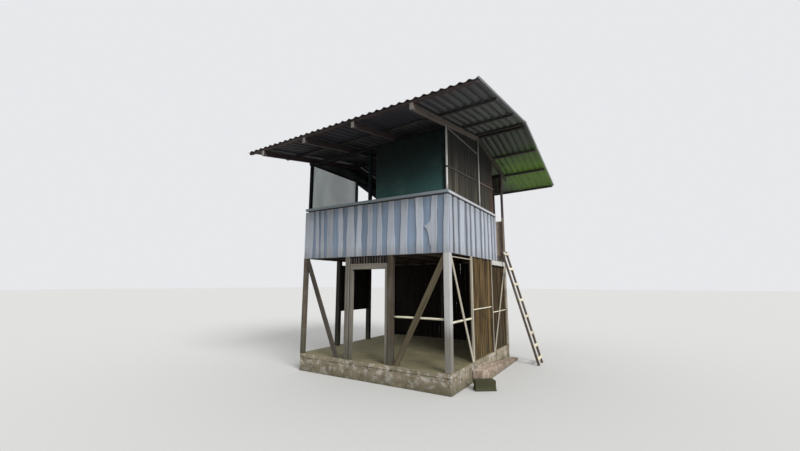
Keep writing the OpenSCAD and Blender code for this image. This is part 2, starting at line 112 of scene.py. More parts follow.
# The sloping lath: where its two lengths start and end, a point on it and its rise per metre
LATH_YS = ((0.118, 1.943), (1.999, 3.178))
LATH_Y, LATH_Z, LATH_RISE = 0.204, 4.041, 0.0665

# Binding, nails, sheets and cloth, in metres
BINDING_R = 0.0215
BINDING_Z = 4.006
RUNG_NAIL_Y = 0.21
SHEET_WAVES = 5
VERGE_W = 0.030
CLOTH_T = 0.0012
CLOTH_STEP = 0.045
THREAD = 0.004
WELL_WORN = 0.006
LUMPS_PER_M = 4.5

# Painted shade under the roof: the heights above the slab where it ends and starts, and the
# brightness at these two. The timbers under the leaves on the left are painted darker by one
# factor, as the leaves' shade.
BOARD_FADE = (3.45, 4.70, 0.74, 0.09)
NET_FADE = (3.50, 4.75, 3.1, 0.18)
LEFT_SHADE = 0.42

# The photo's camera and the lamp: place in house coordinates, angles in radians, lens in mm
CAMERA_AT = Vector((2.8518, -6.4815, 1.6498))
CAMERA_YAW, CAMERA_LIFT, CAMERA_ROLL = 0.5498, 0.1599, 0.0022
CAMERA_LENS = 16.224
KEY_FROM = Vector((0.80, -0.42, 0.62))

# Tolerances: distance, angles, and the cosine from which a face counts as facing a direction
MERGE = 1e-5
FLAT = math.radians(0.5)
SHARP = math.radians(25)
FACING = 0.7

# Blender's vector noise follows the clock unless it is seeded
NOISE_SEED = 1


def tint(red, green, blue):
    """A colour given in the bytes of an sRGB picture, as the linear values that shaders take."""
    shares = (red / 255, green / 255, blue / 255)
    return tuple(s / 12.92 if s <= 0.04045 else ((s + 0.055) / 1.055) ** 2.4 for s in shares)


def chance(seed):
    """A fixed number from 0 to 1 that looks random and is the same on every run."""
    return math.modf(abs(math.sin(seed * 12.9898 + 4.1) * 43758.5453))[0]


def wander(length, seed):
    """A slow, irregular swing from 0 to 1 along a length in metres, different for each seed."""
    slow = noise.noise(Vector((length * 1.9, seed * 7.31, 0.5)))
    quick = noise.noise(Vector((length * 6.5, seed * 3.17, 8.5)))
    return min(1.0, max(0.0, 0.5 + 0.7 * slow + 0.3 * quick))


# Settings


def colour(name, description, default):
    return bpy.props.FloatVectorProperty(
        name=name, description=description, default=default, subtype="COLOR", size=3, min=0, max=1
    )


def length(name, description, default, most):
    return bpy.props.FloatProperty(
        name=name, description=description, default=default, min=0, max=most, unit="LENGTH"
    )


class StiltHouseWood(bpy.types.PropertyGroup):
    """Colours of the bare timber and boards"""

    grey: colour("Grey timber", "Left front post and brace", tint(134, 121, 101))
    brown: colour("Brown timber", "Right door post and shaded posts", tint(76, 64, 47))
    door: colour("Door timber", "Left door post, jambs and header", tint(142, 136, 124))
    bare: colour("Bare timber", "Studs and side braces", tint(210, 201, 182))
    slabs: colour("Brown boards", "Upright boards of the ground storey", tint(111, 88, 51))
    dark: colour("Dark boards", "Back wall of the upper room", tint(92, 84, 72))
    floor: colour("Floor timber", "Beams, joists and deck", tint(96, 84, 70))
    rafter: colour("Rafters", "Rafter over the right wall", tint(150, 138, 128))
    purlin: colour("Purlins", "Purlins under the sheets", tint(47, 42, 37))
    ladder: colour("Ladder rails", "The two rails of the ladder", tint(92, 78, 66))
    rung: colour("Rungs", "Short boards of the ladder", tint(226, 218, 192))


class StiltHousePaint(bpy.types.PropertyGroup):
    """Colours of the painted boards, the roof, the nets and the base"""

    blue: colour("Blue boards", "Paint of the boards behind", tint(142, 160, 183))
    pale: colour("Pale boards", "Paint of the wavy boards in front", tint(196, 203, 215))
    rail: colour("Front rail", "Paint of the front cap rail", tint(140, 152, 160))
    side_rail: colour("Side rails", "Paint of the side cap rails", tint(206, 208, 214))
    post: colour("Corner post", "Worn pale paint of the corner post", tint(210, 210, 208))
    pole: colour("Poles", "Thin poles of the upper room", tint(226, 226, 222))
    zinc: colour("Sheets", "Weathered upper side of the roof", tint(150, 152, 152))
    # The underside is a far darker copy of the sheets: painted shade, with dirt
    under: colour("Sheets from below", "Underside of the roof, darkened as painted shade and dirt", tint(58, 57, 65))
    # Green light from plants, painted on the underside
    plant_light: colour("Painted green light", "Green light from plants, painted on the underside at the back", tint(110, 152, 44))
    rust: colour("Rust", "Rust along edges and laps", tint(104, 62, 42))
    net: colour("Front net", "Shade cloth on the front and gable", tint(33, 57, 55))
    side_net: colour("Side net", "Paler shade cloth on the left", tint(60, 166, 136))
    concrete: colour("Concrete", "Slab and foundation walls", tint(128, 119, 101))
    footing: colour("Footing", "Rough pinkish footing", tint(164, 142, 124))


class StiltHouseSizes(bpy.types.PropertyGroup):
    """Sizes of what the boards and sheets show at close range"""

    worn: length("Worn edges", "Rounding of sawn edges", 0.004, 0.01)
    row: length("Rows", "Spacing of the cuts along a board", 0.22, 1.0)
    nail: length("Nail heads", "Width of a nail head", 0.009, 0.02)
    sag: length("Net sag", "Depth of the nets' sag", 0.012, 0.05)
    sheet: length("Sheet metal", "Thickness of a roof sheet", 0.0012, 0.004)


class StiltHouseLight(bpy.types.PropertyGroup):
    """Light and backdrop of the studio"""

    sky: bpy.props.FloatProperty(
        name="Sky", description="Brightness of the soft light from above", default=0.85, min=0
    )
    key: bpy.props.FloatProperty(
        name="Key lamp", description="Strength of the soft lamp on the right", default=2.8, min=0
    )
    soft: bpy.props.FloatProperty(
        name="Softness",
        description="Apparent width of the lamp",
        default=math.radians(25),
        subtype="ANGLE",
        unit="ROTATION",
    )
    floor: colour("Floor", "Pale floor of the studio", (0.58, 0.58, 0.57))
    bounce: colour("Floor bounce", "What the floor gives back to the object", (0.20, 0.20, 0.19))
    backdrop: colour("Backdrop", "Pale backdrop", (0.80, 0.81, 0.83))


# Solids


def copy_of(node):
    """A working copy of a node's mesh, its doubles merged and its flat faces made whole."""
    shape = bmesh.new()
    shape.from_mesh(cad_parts[node].data)
    bmesh.ops.remove_doubles(shape, verts=shape.verts, dist=MERGE)
    bmesh.ops.dissolve_limit(shape, angle_limit=FLAT, verts=shape.verts, edges=shape.edges)
    return shape


def solids_of(node):
    """The separate solids of a node, each as a bmesh of its own."""
    whole = copy_of(node)
    mark = whole.verts.layers.int.new("solid")
    count = 0
    for start in whole.verts:
        if start[mark]:
            continue
        count += 1
        start[mark] = count
        todo = [start]
        while todo:
            for edge in todo.pop().link_edges:
                for vert in edge.verts:
                    if not vert[mark]:
                        vert[mark] = count
                        todo.append(vert)
    parts = []
    for k in range(1, count + 1):
        part = whole.copy()
        layer = part.verts.layers.int["solid"]
        other = [v for v in part.verts if v[layer] != k]
        bmesh.ops.delete(part, geom=other, context="VERTS")
        part.verts.layers.int.remove(part.verts.layers.int["solid"])
        parts.append(part)
    whole.free()
    return parts


def extent(shape):
    """The lowest and highest corner of a shape."""
    low = Vector(min(v.co[i] for v in shape.verts) for i in range(3))
    high = Vector(max(v.co[i] for v in shape.verts) for i in range(3))
    return low, high


def long_way(shape):
    """The direction of a solid's longest edge."""
    edge = max(shape.edges, key=lambda e: e.calc_length())
    return (edge.verts[1].co - edge.verts[0].co).normalized()


def cut_across(shape, way, step):
    """Cuts a shape into rows of about the same length, square to the given direction."""
    reach = [v.co.dot(way) for v in shape.verts]
    low, high = min(reach), max(reach)
    count = max(1, round((high - low) / step))
    for i in range(1, count):
        at = way * (low + (high - low) * i / count)
        geom = [*shape.verts, *shape.edges, *shape.faces]
        bmesh.ops.bisect_plane(shape, geom=geom, dist=1e-6, plane_co=at, plane_no=way)


def reach_at(shape, run, z):
    """How far a shape reaches along one axis at a given height."""
    spots = []
    for edge in shape.edges:
        low, high = sorted((v.co for v in edge.verts), key=lambda co: co.z)
        if low.z <= z <= high.z and high.z > low.z:
            spots.append(low.lerp(high, (z - low.z) / (high.z - low.z))[run])
    return min(spots), max(spots)


def trim(shape, at, normal):
    """Cuts away what lies beyond a plane, and closes the cut."""
    geom = [*shape.verts, *shape.edges, *shape.faces]
    bmesh.ops.bisect_plane(
        shape, geom=geom, dist=1e-6, plane_co=at, plane_no=normal, clear_outer=True
    )
    rim = [e for e in shape.edges if e.is_boundary]
    if rim:
        bmesh.ops.holes_fill(shape, edges=rim)


def sway(shape, way, amount, seed):
    """Bends a shape a little, as timber warps, square to its length."""
    noise.seed_set(NOISE_SEED)
    for vert in shape.verts:
        push = noise.noise_vector(vert.co * 0.9 + UP * seed * 3.1) * amount
        vert.co += push - way * push.dot(way)


def round_edges(shape, worn):
    """Wears the sharp edges down and marks the worn faces."""
    edge_mark = shape.faces.layers.float.get("edge") or shape.faces.layers.float.new("edge")
    sharp = [e for e in shape.edges if len(e.link_faces) == 2 and e.calc_face_angle(0) > SHARP]
    if worn <= 0 or not sharp:
        return
    made = bmesh.ops.bevel(
        shape, geom=sharp, offset=worn, offset_type="OFFSET", segments=1, profile=0.5,
        affect="EDGES", material=-1, clamp_overlap=True,
    )
    for face in made["faces"]:
        face[edge_mark] = 1.0


def lay_grain(shape, way, seed):
    """Writes the grain map, in metres along the wood and across it, and the solid's own tone."""
    grain = shape.loops.layers.uv.get("grain") or shape.loops.layers.uv.new("grain")
    tone = shape.faces.layers.float.get("tone") or shape.faces.layers.float.new("tone")
    shift = Vector((11.0 * chance(seed), 7.0 * chance(seed + 0.5)))
    level = chance(seed + 0.25)
    side = way.orthogonal().normalized()
    for face in shape.faces:
        along, across = way, way.cross(face.normal)
        if across.length < 0.6:
            along, across = side, way.cross(side)
        across.normalize()
        face[tone] = level
        for loop in face.loops:
            spot = loop.vert.co
            loop[grain].uv = (spot.dot(along) + shift.x, spot.dot(across) + shift.y)


def mark(shape, pick):
    """Gives each face the material number that pick returns for the face's middle."""
    for face in shape.faces:
        face.material_index = pick(face.calc_center_median())


def fill(shapes, number):
    """Gives all faces of some shapes one material number, and returns the shapes."""
    for shape in shapes:
        for face in shape.faces:
            face.material_index = number
    return shapes


def timber(node, worn, row, seed, way=None, bow=0.002, smooth=False, pick=None):
    """A node's solids with warped lengths, worn edges and their grain laid along them.

    pick gives the number of the material for a face from the face's middle.
    """
    parts = solids_of(node)
    for i, shape in enumerate(parts):
        along = way or long_way(shape)
        cut_across(shape, along, row)
        sway(shape, along, bow, seed + i)
        if smooth:
            for face in shape.faces:
                face.smooth = True
        else:
            round_edges(shape, worn)
        lay_grain(shape, along, seed + i)
        if pick:
            mark(shape, pick)
    return parts


def board(low, high, along, across, seed, row, worn, ragged=0.0, planes=()):
    """One board that fills a box, its side edges wandering inwards as on a slab from a log."""
    shape = bmesh.new()
    place = Matrix.LocRotScale((low + high) / 2, None, high - low)
    bmesh.ops.create_cube(shape, size=1.0, matrix=place)
    way = AXES[along]
    for at, normal in planes:
        trim(shape, at, normal)
    cut_across(shape, way, row)
    if ragged:
        middle = (low[across] + high[across]) / 2
        for vert in shape.verts:
            if vert.co[across] > middle:
                vert.co[across] -= ragged * wander(vert.co[along], seed)
            else:
                vert.co[across] += ragged * wander(vert.co[along], seed + 0.37)
    round_edges(shape, worn)
    lay_grain(shape, way, seed)
    return shape


def board_wall(low, high, along, across, width, gap, seed, row, worn, ragged=0.0, planes=()):
    """Boards side by side that fill a box, with uneven widths and thin gaps."""
    run = high[across] - low[across]
    count = max(1, round(run / width))
    edges = [low[across] + run * (i + 0.36 * (chance(seed + i) - 0.5) * (0 < i < count)) / count
             for i in range(count + 1)]
    depth = 3 - along - across
    shapes = []
    for i in range(count):
        start, end = low.copy(), high.copy()
        start[across] = edges[i] + (gap * (0.3 + chance(seed + i + 0.7)) / 2 if i else 0)
        last = i == count - 1
        end[across] = edges[i + 1] - (0 if last else gap * (0.3 + chance(seed + i + 0.9)) / 2)
        thin = 0.16 * chance(seed + i + 0.1) * (high[depth] - low[depth])
        end[depth] -= thin / 2
        start[depth] += thin / 2
        shapes.append(board(start, end, along, across, seed + i, row, worn, ragged, planes))
    return shapes


def stick(start, end, width, depth, facing, seed, row, worn):
    """A straight batten between two points, its wide side square to the facing direction."""
    way = (end - start).normalized()
    across = facing.cross(way).normalized()
    turn = Matrix((across, facing, way)).transposed().to_4x4()
    place = Matrix.Translation((start + end) / 2) @ turn
    size = Matrix.Diagonal((width, depth, (end - start).length, 1.0))
    shape = bmesh.new()
    bmesh.ops.create_cube(shape, size=1.0, matrix=place @ size)
    if place.determinant() < 0:
        bmesh.ops.reverse_faces(shape, faces=shape.faces)
    cut_across(shape, way, row)
    round_edges(shape, worn)
    lay_grain(shape, way, seed)
    return shape


def rafter_planes():
    """The two planes of the rafters' underside, each as a point and the direction beyond it."""
    turn = ROOF_FRAME.to_3x3()
    peak = ROOF_FRAME @ Vector((0, RIDGE_Y, RIDGE_Y * math.tan(ROOF_PITCH)))
    front = turn @ Vector((0, -math.sin(ROOF_PITCH), math.cos(ROOF_PITCH)))
    back = turn @ Vector((0, math.sin(ROOF_PITCH), math.cos(ROOF_PITCH)))
    return ((peak, front), (peak, back))


def linked(name, shape, materials):
    """A finished shape as an object of the scene, with its materials."""
    mesh = bpy.data.meshes.new(name)
    shape.to_mesh(mesh)
    shape.free()
    for material in materials:
        mesh.materials.append(material)
    made = bpy.data.objects.new(name, mesh)
    bpy.context.scene.collection.objects.link(made)
    return made


def piece(name, shapes, materials, nodes=(), back=None):
    """Joins finished solids into one object that rides on the frame and stands for its nodes.

    Faces that look in the direction back, where it is given, get the second material.
    """
    whole = bmesh.new()
    for shape in shapes:
        if back is not None:
            for face in shape.faces:
                if face.normal.dot(back) > FACING:
                    face.material_index = 1
        part = bpy.data.meshes.new(name)
        shape.to_mesh(part)
        shape.free()
        whole.from_mesh(part)
        bpy.data.meshes.remove(part)
    made = linked(name, whole, materials)
    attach(made, "root")
    if nodes:
        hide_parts(*nodes)


# Finishes


class Finish:
    """A material under construction. Each method adds a node and returns what comes out."""

    def __init__(self, name):
        self.material = bpy.data.materials.new(name)
        self.material.use_nodes = True
        self.tree = self.material.node_tree
        self.surface = self.tree.nodes["Principled BSDF"]

    def put(self, socket, value):
        if isinstance(value, bpy.types.NodeSocket):
            self.tree.links.new(value, socket)
        elif hasattr(value, "__len__") and len(value) == 3 and len(socket.default_value) == 4:
            socket.default_value = (*value, 1.0)
        else:
            socket.default_value = value

    def node(self, kind, inputs=(), **settings):
        made = self.tree.nodes.new(kind)
        for key, value in settings.items():
            setattr(made, key, value)
        for key, value in dict(inputs).items():
            self.put(made.inputs[key], value)
        return made

    def place(self):
        return self.node("ShaderNodeTexCoord").outputs["Object"]

    def grain(self):
        return self.node("ShaderNodeUVMap", uv_map="grain").outputs["UV"]

    def face_value(self, name):
        return self.node("ShaderNodeAttribute", attribute_name=name).outputs["Fac"]

    def scaled(self, vector, scale):
        made = self.node("ShaderNodeMapping", {"Vector": vector, "Scale": scale})
        return made.outputs["Vector"]

    def cloud(self, vector, scale, detail=4.0, rough=0.55, bend=0.0):
        made = self.node(
            "ShaderNodeTexNoise",
            {"Vector": vector, "Scale": scale, "Detail": detail, "Roughness": rough,
             "Distortion": bend},
        )
        return made.outputs["Fac"]

    def cells(self, vector, scale):
        made = self.node("ShaderNodeTexVoronoi", {"Vector": vector, "Scale": scale})
        return made.outputs["Distance"]

    def maths(self, operation, a, b=0.5, clamp=False):
        return self.node(
            "ShaderNodeMath", {0: a, 1: b}, operation=operation, use_clamp=clamp
        ).outputs[0]

    def part(self, vector, axis):
        return self.node("ShaderNodeSeparateXYZ", {"Vector": vector}).outputs[axis]

    def fit(self, value, low, high, start=0.0, end=1.0):
        """Maps a value between two limits to another pair, and holds it there."""
        made = self.node(
            "ShaderNodeMapRange",
            {"Value": value, "From Min": low, "From Max": high, "To Min": start, "To Max": end},
        )
        return made.outputs["Result"]

    def ramp(self, value, *stops):
        made = self.node("ShaderNodeValToRGB", {"Fac": value})
        band = made.color_ramp
        while len(band.elements) < len(stops):
            band.elements.new(0.5)
        for element, (at, shade) in zip(band.elements, stops):
            element.position = at
            element.color = (*shade, 1.0)
        return made.outputs["Color"]

    def mix(self, share, a, b, blend="MIX"):
        made = self.node("ShaderNodeMix", data_type="RGBA", blend_type=blend)
        self.put(made.inputs[0], share)
        self.put(made.inputs[6], a)
        self.put(made.inputs[7], b)
        return made.outputs[2]

    def levelled(self, base, level):
        """A colour times a brightness."""
        grey = self.node("ShaderNodeCombineColor", {0: level, 1: level, 2: level}).outputs[0]
        return self.mix(1.0, base, grey, "MULTIPLY")

    def faded(self, base, foot, top, at_foot, at_top, curve=1.0):
        """A colour whose brightness changes from one height above the slab to another, as painted
        shade.
        """
        height = self.part(self.place(), "Z")
        fall = self.fit(height, HOUSE.z + foot, HOUSE.z + top, 1.0, 0.0)
        share = self.maths("POWER", fall, curve)
        return self.levelled(base, self.fit(share, 0.0, 1.0, at_top, at_foot))

    def done(self, base, rough, height=None, bump=0.3, distance=0.002, **constants):
        """Wires the shader: colour, roughness and bump from nodes, the rest as constants."""
        self.put(self.surface.inputs["Base Color"], base)
        self.put(self.surface.inputs["Roughness"], rough)
        if height is not None:
            made = self.node(
                "ShaderNodeBump", {"Strength": bump, "Distance": distance, "Height": height}
            )
            self.put(self.surface.inputs["Normal"], made.outputs["Normal"])
        for key, value in constants.items():
            self.surface.inputs[key].default_value = value
        return self.material


class Sky(Finish):
    """The light and backdrop around the object, built with the same methods."""

    def __init__(self, name):
        self.world = bpy.data.worlds.new(name)
        self.world.use_nodes = True
        self.tree = self.world.node_tree


def shade(tone, factor):
    """A colour made darker or lighter by one factor."""
    return tuple(min(1.0, c * factor) for c in tone)


def towards(tone, other, share):
    """A colour moved a share of the way to another."""
    return tuple(a + (b - a) * share for a, b in zip(tone, other))


def wood_grain(f, fine, contrast):
    """Streaks along the grain: the value runs from dark to light lines about 0.5."""
    spot = f.grain()
    drift = f.cloud(f.scaled(spot, (0.7, 3.0, 1.0)), 1.0, 2.0)
    lines = f.cloud(f.scaled(spot, (1.1, fine, 1.0)), 1.0, 5.0, 0.62, 0.6)
    thin = f.cloud(f.scaled(spot, (2.2, fine * 3.4, 1.0)), 1.0, 3.0, 0.5)
    both = f.maths("ADD", f.maths("MULTIPLY", lines, 0.72), f.maths("MULTIPLY", thin, 0.28))
    shift = f.maths("ADD", both, f.maths("MULTIPLY", f.maths("SUBTRACT", drift, 0.5), 0.35))
    low, high = 0.5 - 0.5 / contrast, 0.5 + 0.5 / contrast
    return f.fit(shift, low, high)


def wood(name, tone, fine=30.0, contrast=2.6, depth=0.55, weather=0.35, spread=0.45,
         foot=0.0, bold=0.0, fade=None, gloss=0.5, bands=11.0):
    """Bare, weathered timber: grain, silvered patches, checks with painted shade in them, a damp
    foot where asked, and painted shade over height where fade is given.

    fine is the number of grain lines per metre, and bold adds broad bands, bands per metre.
    """
    f = Finish(name)
    grain = wood_grain(f, fine, contrast)
    base = f.ramp(grain, (0.0, shade(tone, 1.0 - depth)), (0.45, shade(tone, 0.86)),
                  (0.75, tone), (1.0, shade(tone, 1.22)))
    grey = towards(shade(tone, 0.9), (0.33, 0.32, 0.30), 0.6)
    patches = f.cloud(f.place(), 1.7, 5.0, 0.6)
    base = f.mix(f.fit(patches, 0.45, 0.72, 0.0, weather), base, grey)
    stains = f.cloud(f.scaled(f.place(), (2.6, 2.6, 1.1)), 1.0, 4.0, 0.6)
    base = f.mix(f.fit(stains, 0.52, 0.70, 0.0, 0.5), base, shade(tone, 0.42))
    if bold:
        band = f.cloud(f.scaled(f.grain(), (0.45, bands, 1.0)), 1.0, 3.0, 0.5, 0.3)
        base = f.mix(f.fit(band, 0.40, 0.56, bold, 0.0), base, shade(tone, 0.22))
        light = shade(towards(shade(tone, 1.6), grey, 0.4), 1.15)
        base = f.mix(f.fit(band, 0.54, 0.68, 0.0, bold * 0.6), base, light)
    split = f.cloud(f.scaled(f.grain(), (0.6, fine * 1.7, 1.0)), 1.0, 2.0, 0.4)
    crack = f.fit(split, 0.30, 0.37, 0.5, 0.0)
    # Painted shade in the checks: they are drawn darker
    base = f.mix(crack, base, shade(tone, 0.16))
    level = f.fit(f.face_value("tone"), 0.0, 1.0, 1.0 - spread, 1.0 + spread * 0.35)
    base = f.levelled(base, level)
    worn = f.maths("MULTIPLY", f.face_value("edge"), f.fit(patches, 0.35, 0.6))
    base = f.mix(f.maths("MULTIPLY", worn, 0.55), base, shade(tone, 1.35))
    if foot:
        height = f.part(f.place(), "Z")
        edge = f.maths("ADD", height, f.maths("MULTIPLY", f.cloud(f.place(), 9.0), 0.5))
        damp = f.fit(edge, HOUSE.z + 0.22, HOUSE.z + 0.85, foot, 0.0)
        base = f.mix(damp, base, tint(58, 60, 40))
    # Painted shade: darker towards the top, under the roof
    if fade:
        base = f.faded(base, *fade)
    surface = f.maths("SUBTRACT", grain, f.maths("MULTIPLY", crack, 1.5))
    return f.done(base, f.fit(grain, 0.0, 1.0, 0.88, 0.70), surface, 0.55, 0.0025,
                  **{"Specular IOR Level": gloss})


def painted(name, tone, wear=0.4, streak=0.35, fine=26.0, bare=None, spread=0.25, dirt=0.4,
            top=None, foot=None, shaded_end_x=None):
    """Thin old paint on boards: brush lines, grey runs, scuffed edges and a dirty foot, and, where
    the last argument is given, painted shade that darkens the boards towards that x.
    """
    f = Finish(name)
    raw = bare or tint(120, 112, 100)
    grain = wood_grain(f, fine, 2.2)
    soft = f.cloud(f.scaled(f.grain(), (0.5, 9.0, 1.0)), 1.0, 3.0, 0.55)
    base = f.ramp(grain, (0.0, shade(tone, 1.0 - streak)), (0.4, shade(tone, 0.92)),
                  (0.8, tone), (1.0, shade(tone, 1.08)))
    base = f.mix(f.fit(soft, 0.42, 0.68, 0.0, 0.45), base, shade(tone, 0.74))
    level = f.fit(f.face_value("tone"), 0.0, 1.0, 1.0 - spread, 1.0 + spread * 0.3)
    base = f.levelled(base, level)
    scuff = f.cloud(f.scaled(f.grain(), (3.0, 22.0, 1.0)), 1.0, 6.0, 0.7, 0.4)
    patches = f.cloud(f.place(), 3.2, 4.0, 0.6)
    thin = f.maths("MULTIPLY", f.fit(scuff, 0.56, 0.66), f.fit(patches, 0.45, 0.62))
    edge = f.maths("MULTIPLY", f.face_value("edge"), f.fit(patches, 0.36, 0.58))
    lost = f.maths("ADD", f.maths("MULTIPLY", thin, wear), f.maths("MULTIPLY", edge, 0.5), True)
    base = f.mix(lost, base, raw)
    height = f.part(f.place(), "Z")
    rough_edge = f.maths("MULTIPLY", f.cloud(f.scaled(f.grain(), (1.0, 16.0, 1.0)), 1.0), 0.5)
    if top is not None:
        reach = f.maths("ADD", height, rough_edge)
        base = f.mix(f.fit(reach, top, top + 0.28, 0.0, dirt), base, tint(84, 86, 86))
    if foot is not None:
        reach = f.maths("SUBTRACT", height, rough_edge)
        base = f.mix(f.fit(reach, foot - 0.30, foot + 0.02, dirt, 0.0), base, tint(98, 92, 80))
    # Painted shade: darker towards one end, from 0.84 of the brightness at that x to full
    # brightness 1.8 m on
    if shaded_end_x is not None:
        far = f.fit(f.part(f.place(), "X"), shaded_end_x, shaded_end_x + 1.8, 0.84, 1.0)
        base = f.levelled(base, far)
    surface = f.maths("SUBTRACT", grain, lost)
    return f.done(base, f.fit(grain, 0.0, 1.0, 0.68, 0.52), surface, 0.35, 0.0015)


def roof_upper(name, zinc, rust):
    """Dull zinc with streaks down the slope, rust at the laps, and dark dirt in patches."""
    f = Finish(name)
    spot = f.grain()
    streaks = f.cloud(f.scaled(spot, (0.7, 16.0, 1.0)), 1.0, 5.0, 0.6)
    base = f.ramp(streaks, (0.2, shade(zinc, 0.62)), (0.5, shade(zinc, 0.92)),
                  (0.8, shade(zinc, 1.15)))
    spangle = f.cells(f.scaled(spot, (60.0, 60.0, 1.0)), 1.0)
    base = f.mix(f.fit(spangle, 0.2, 0.9, 0.0, 0.18), base, shade(zinc, 1.3))
    old = f.cloud(f.place(), 1.1, 6.0, 0.68)
    runs = f.cloud(f.scaled(spot, (1.2, 26.0, 1.0)), 1.0, 4.0, 0.6)
    mask = f.maths("MULTIPLY", f.fit(old, 0.46, 0.62), f.fit(runs, 0.40, 0.60))
    edge = f.face_value("edge")
    mask = f.maths("MAXIMUM", mask, f.maths("MULTIPLY", edge, f.fit(old, 0.34, 0.54)))
    base = f.mix(f.maths("MULTIPLY", mask, 0.85), base, rust)
    dirt = f.cloud(f.place(), 5.0, 5.0, 0.7)
    base = f.mix(f.fit(dirt, 0.5, 0.75, 0.0, 0.55), base, tint(60, 60, 52))
    level = f.fit(f.face_value("tone"), 0.0, 1.0, 0.82, 1.1)
    base = f.levelled(base, level)
    rough = f.fit(mask, 0.0, 1.0, 0.46, 0.9)
    f.put(f.surface.inputs["Metallic"], f.fit(mask, 0.0, 0.6, 0.55, 0.0))
    return f.done(base, rough, dirt, 0.25, 0.001)


def roof_under(name, dull, plant_light, rust):
    """The underside, far darker than the top as painted shade and dirt: dark streaks down the
    slope, painted shade towards the left, painted green reflected light on the right and behind,
    rust at the front, and a painted highlight along the right verge.
    """
    f = Finish(name)
    spot = f.grain()
    streaks = f.cloud(f.scaled(spot, (0.8, 20.0, 1.0)), 1.0, 5.0, 0.62)
    # The underside's colour is far darker than the top's: painted shade, with dirt
    base = f.ramp(streaks, (0.2, shade(dull, 0.45)), (0.5, shade(dull, 0.85)),
                  (0.8, shade(dull, 1.25)))
    where = f.place()
    wavy = f.maths("MULTIPLY", f.cloud(where, 1.6, 5.0, 0.6), 1.2)
    right = f.fit(f.maths("ADD", f.part(where, "X"), wavy), HOUSE.x + 0.1, HOUSE.x + 1.0)
    back = f.fit(f.maths("ADD", f.part(where, "Y"), wavy), HOUSE.y + 3.4, HOUSE.y + 4.6)
    green = f.maths("MULTIPLY", right, back)
    # Painted green reflected light over the right overhang, growing towards the back
    slope = f.fit(f.part(where, "Y"), HOUSE.y - 1.0, HOUSE.y + 1.6, 0.15, 0.8)
    base = f.mix(f.maths("MULTIPLY", right, slope), base,
                 f.ramp(streaks, (0.25, tint(40, 46, 36)), (0.75, tint(78, 88, 70))))
    # Painted shade: the underside darker towards the left, lighter to the right
    base = f.levelled(base, f.fit(f.part(where, "X"), HOUSE.x - 3.4, HOUSE.x + 0.6, 0.5, 1.18))
    # Painted green reflected light behind, at the back right
    base = f.mix(green, base,
                 f.ramp(streaks, (0.25, shade(plant_light, 0.6)), (0.75, shade(plant_light, 1.35))))
    old = f.cloud(where, 2.4, 6.0, 0.7)
    edge = HOUSE.y + FRONT_EAVE_Y
    front = f.fit(f.part(where, "Y"), edge + 0.05, edge + 0.40, 1.0, 0.0)
    mask = f.maths("MAXIMUM", f.maths("MULTIPLY", front, f.fit(old, 0.36, 0.58)),
                   f.fit(old, 0.64, 0.74, 0.0, 0.5))
    base = f.mix(f.maths("MULTIPLY", mask, 0.8), base, shade(rust, 0.7))
    level = f.fit(f.face_value("tone"), 0.0, 1.0, 0.8, 1.12)
    base = f.levelled(base, level)
    # Painted highlight: a pale strip along the right verge, where the sheet's edge catches the
    # light
    base = f.mix(f.maths("MULTIPLY", f.face_value("verge"), 0.95), base, tint(226, 228, 232))
    return f.done(base, f.fit(streaks, 0.2, 0.8, 0.72, 0.5), streaks, 0.2, 0.001)


def masonry(name, tone, warm, coarse, depth, lime=0.0):
    """Poured concrete or rough footing: speckle, pits with painted shade in them, lime patches,
    stains and a green foot; with lime, the crevices also get painted shade.
    """
    f = Finish(name)
    where = f.place()
    big = f.cloud(where, 2.2, 6.0, 0.62)
    base = f.ramp(big, (0.25, shade(tone, 0.62)), (0.5, tone), (0.78, shade(warm, 1.1)))
    speck = f.cells(where, coarse)
    base = f.mix(f.fit(speck, 0.05, 0.4, 0.5, 0.0), base, shade(tone, 0.5))
    sand = f.cloud(where, 150.0, 2.0, 0.6)
    base = f.mix(f.fit(sand, 0.35, 0.7, 0.0, 0.4), base, shade(warm, 1.25))
    pits = f.fit(f.cells(where, coarse * 0.45), 0.03, 0.10, 1.0, 0.0)
    # Painted shade in the pits
    base = f.mix(f.maths("MULTIPLY", pits, 0.7), base, shade(tone, 0.22))
    if lime:
        patch = f.cloud(where, 6.5, 5.0, 0.68)
        base = f.mix(f.fit(patch, 0.52, 0.60, 0.0, lime), base, tint(208, 204, 196))
        moss = f.cloud(f.scaled(where, (1.0, 1.0, 1.6)), 3.6, 6.0, 0.7)
        base = f.mix(f.fit(moss, 0.54, 0.64, 0.0, 0.6), base, tint(92, 96, 66))
        crevice = f.cloud(where, 11.0, 6.0, 0.75, 0.8)
        # Painted shade in the crevices
        base = f.mix(f.fit(crevice, 0.36, 0.44, 0.8, 0.0), base, shade(tone, 0.22))
    low = f.maths("ADD", f.part(where, "Z"), f.maths("MULTIPLY", f.cloud(where, 7.0), 0.22))
    base = f.mix(f.fit(low, 0.12, 0.34, 0.7, 0.0), base, tint(66, 66, 44))
    bumps = f.maths("SUBTRACT", f.cloud(where, coarse * 0.6, 5.0, 0.7),
                    f.maths("MULTIPLY", pits, 0.6))
    return f.done(base, f.fit(sand, 0.3, 0.7, 0.95, 0.82), bumps, 0.6, depth)


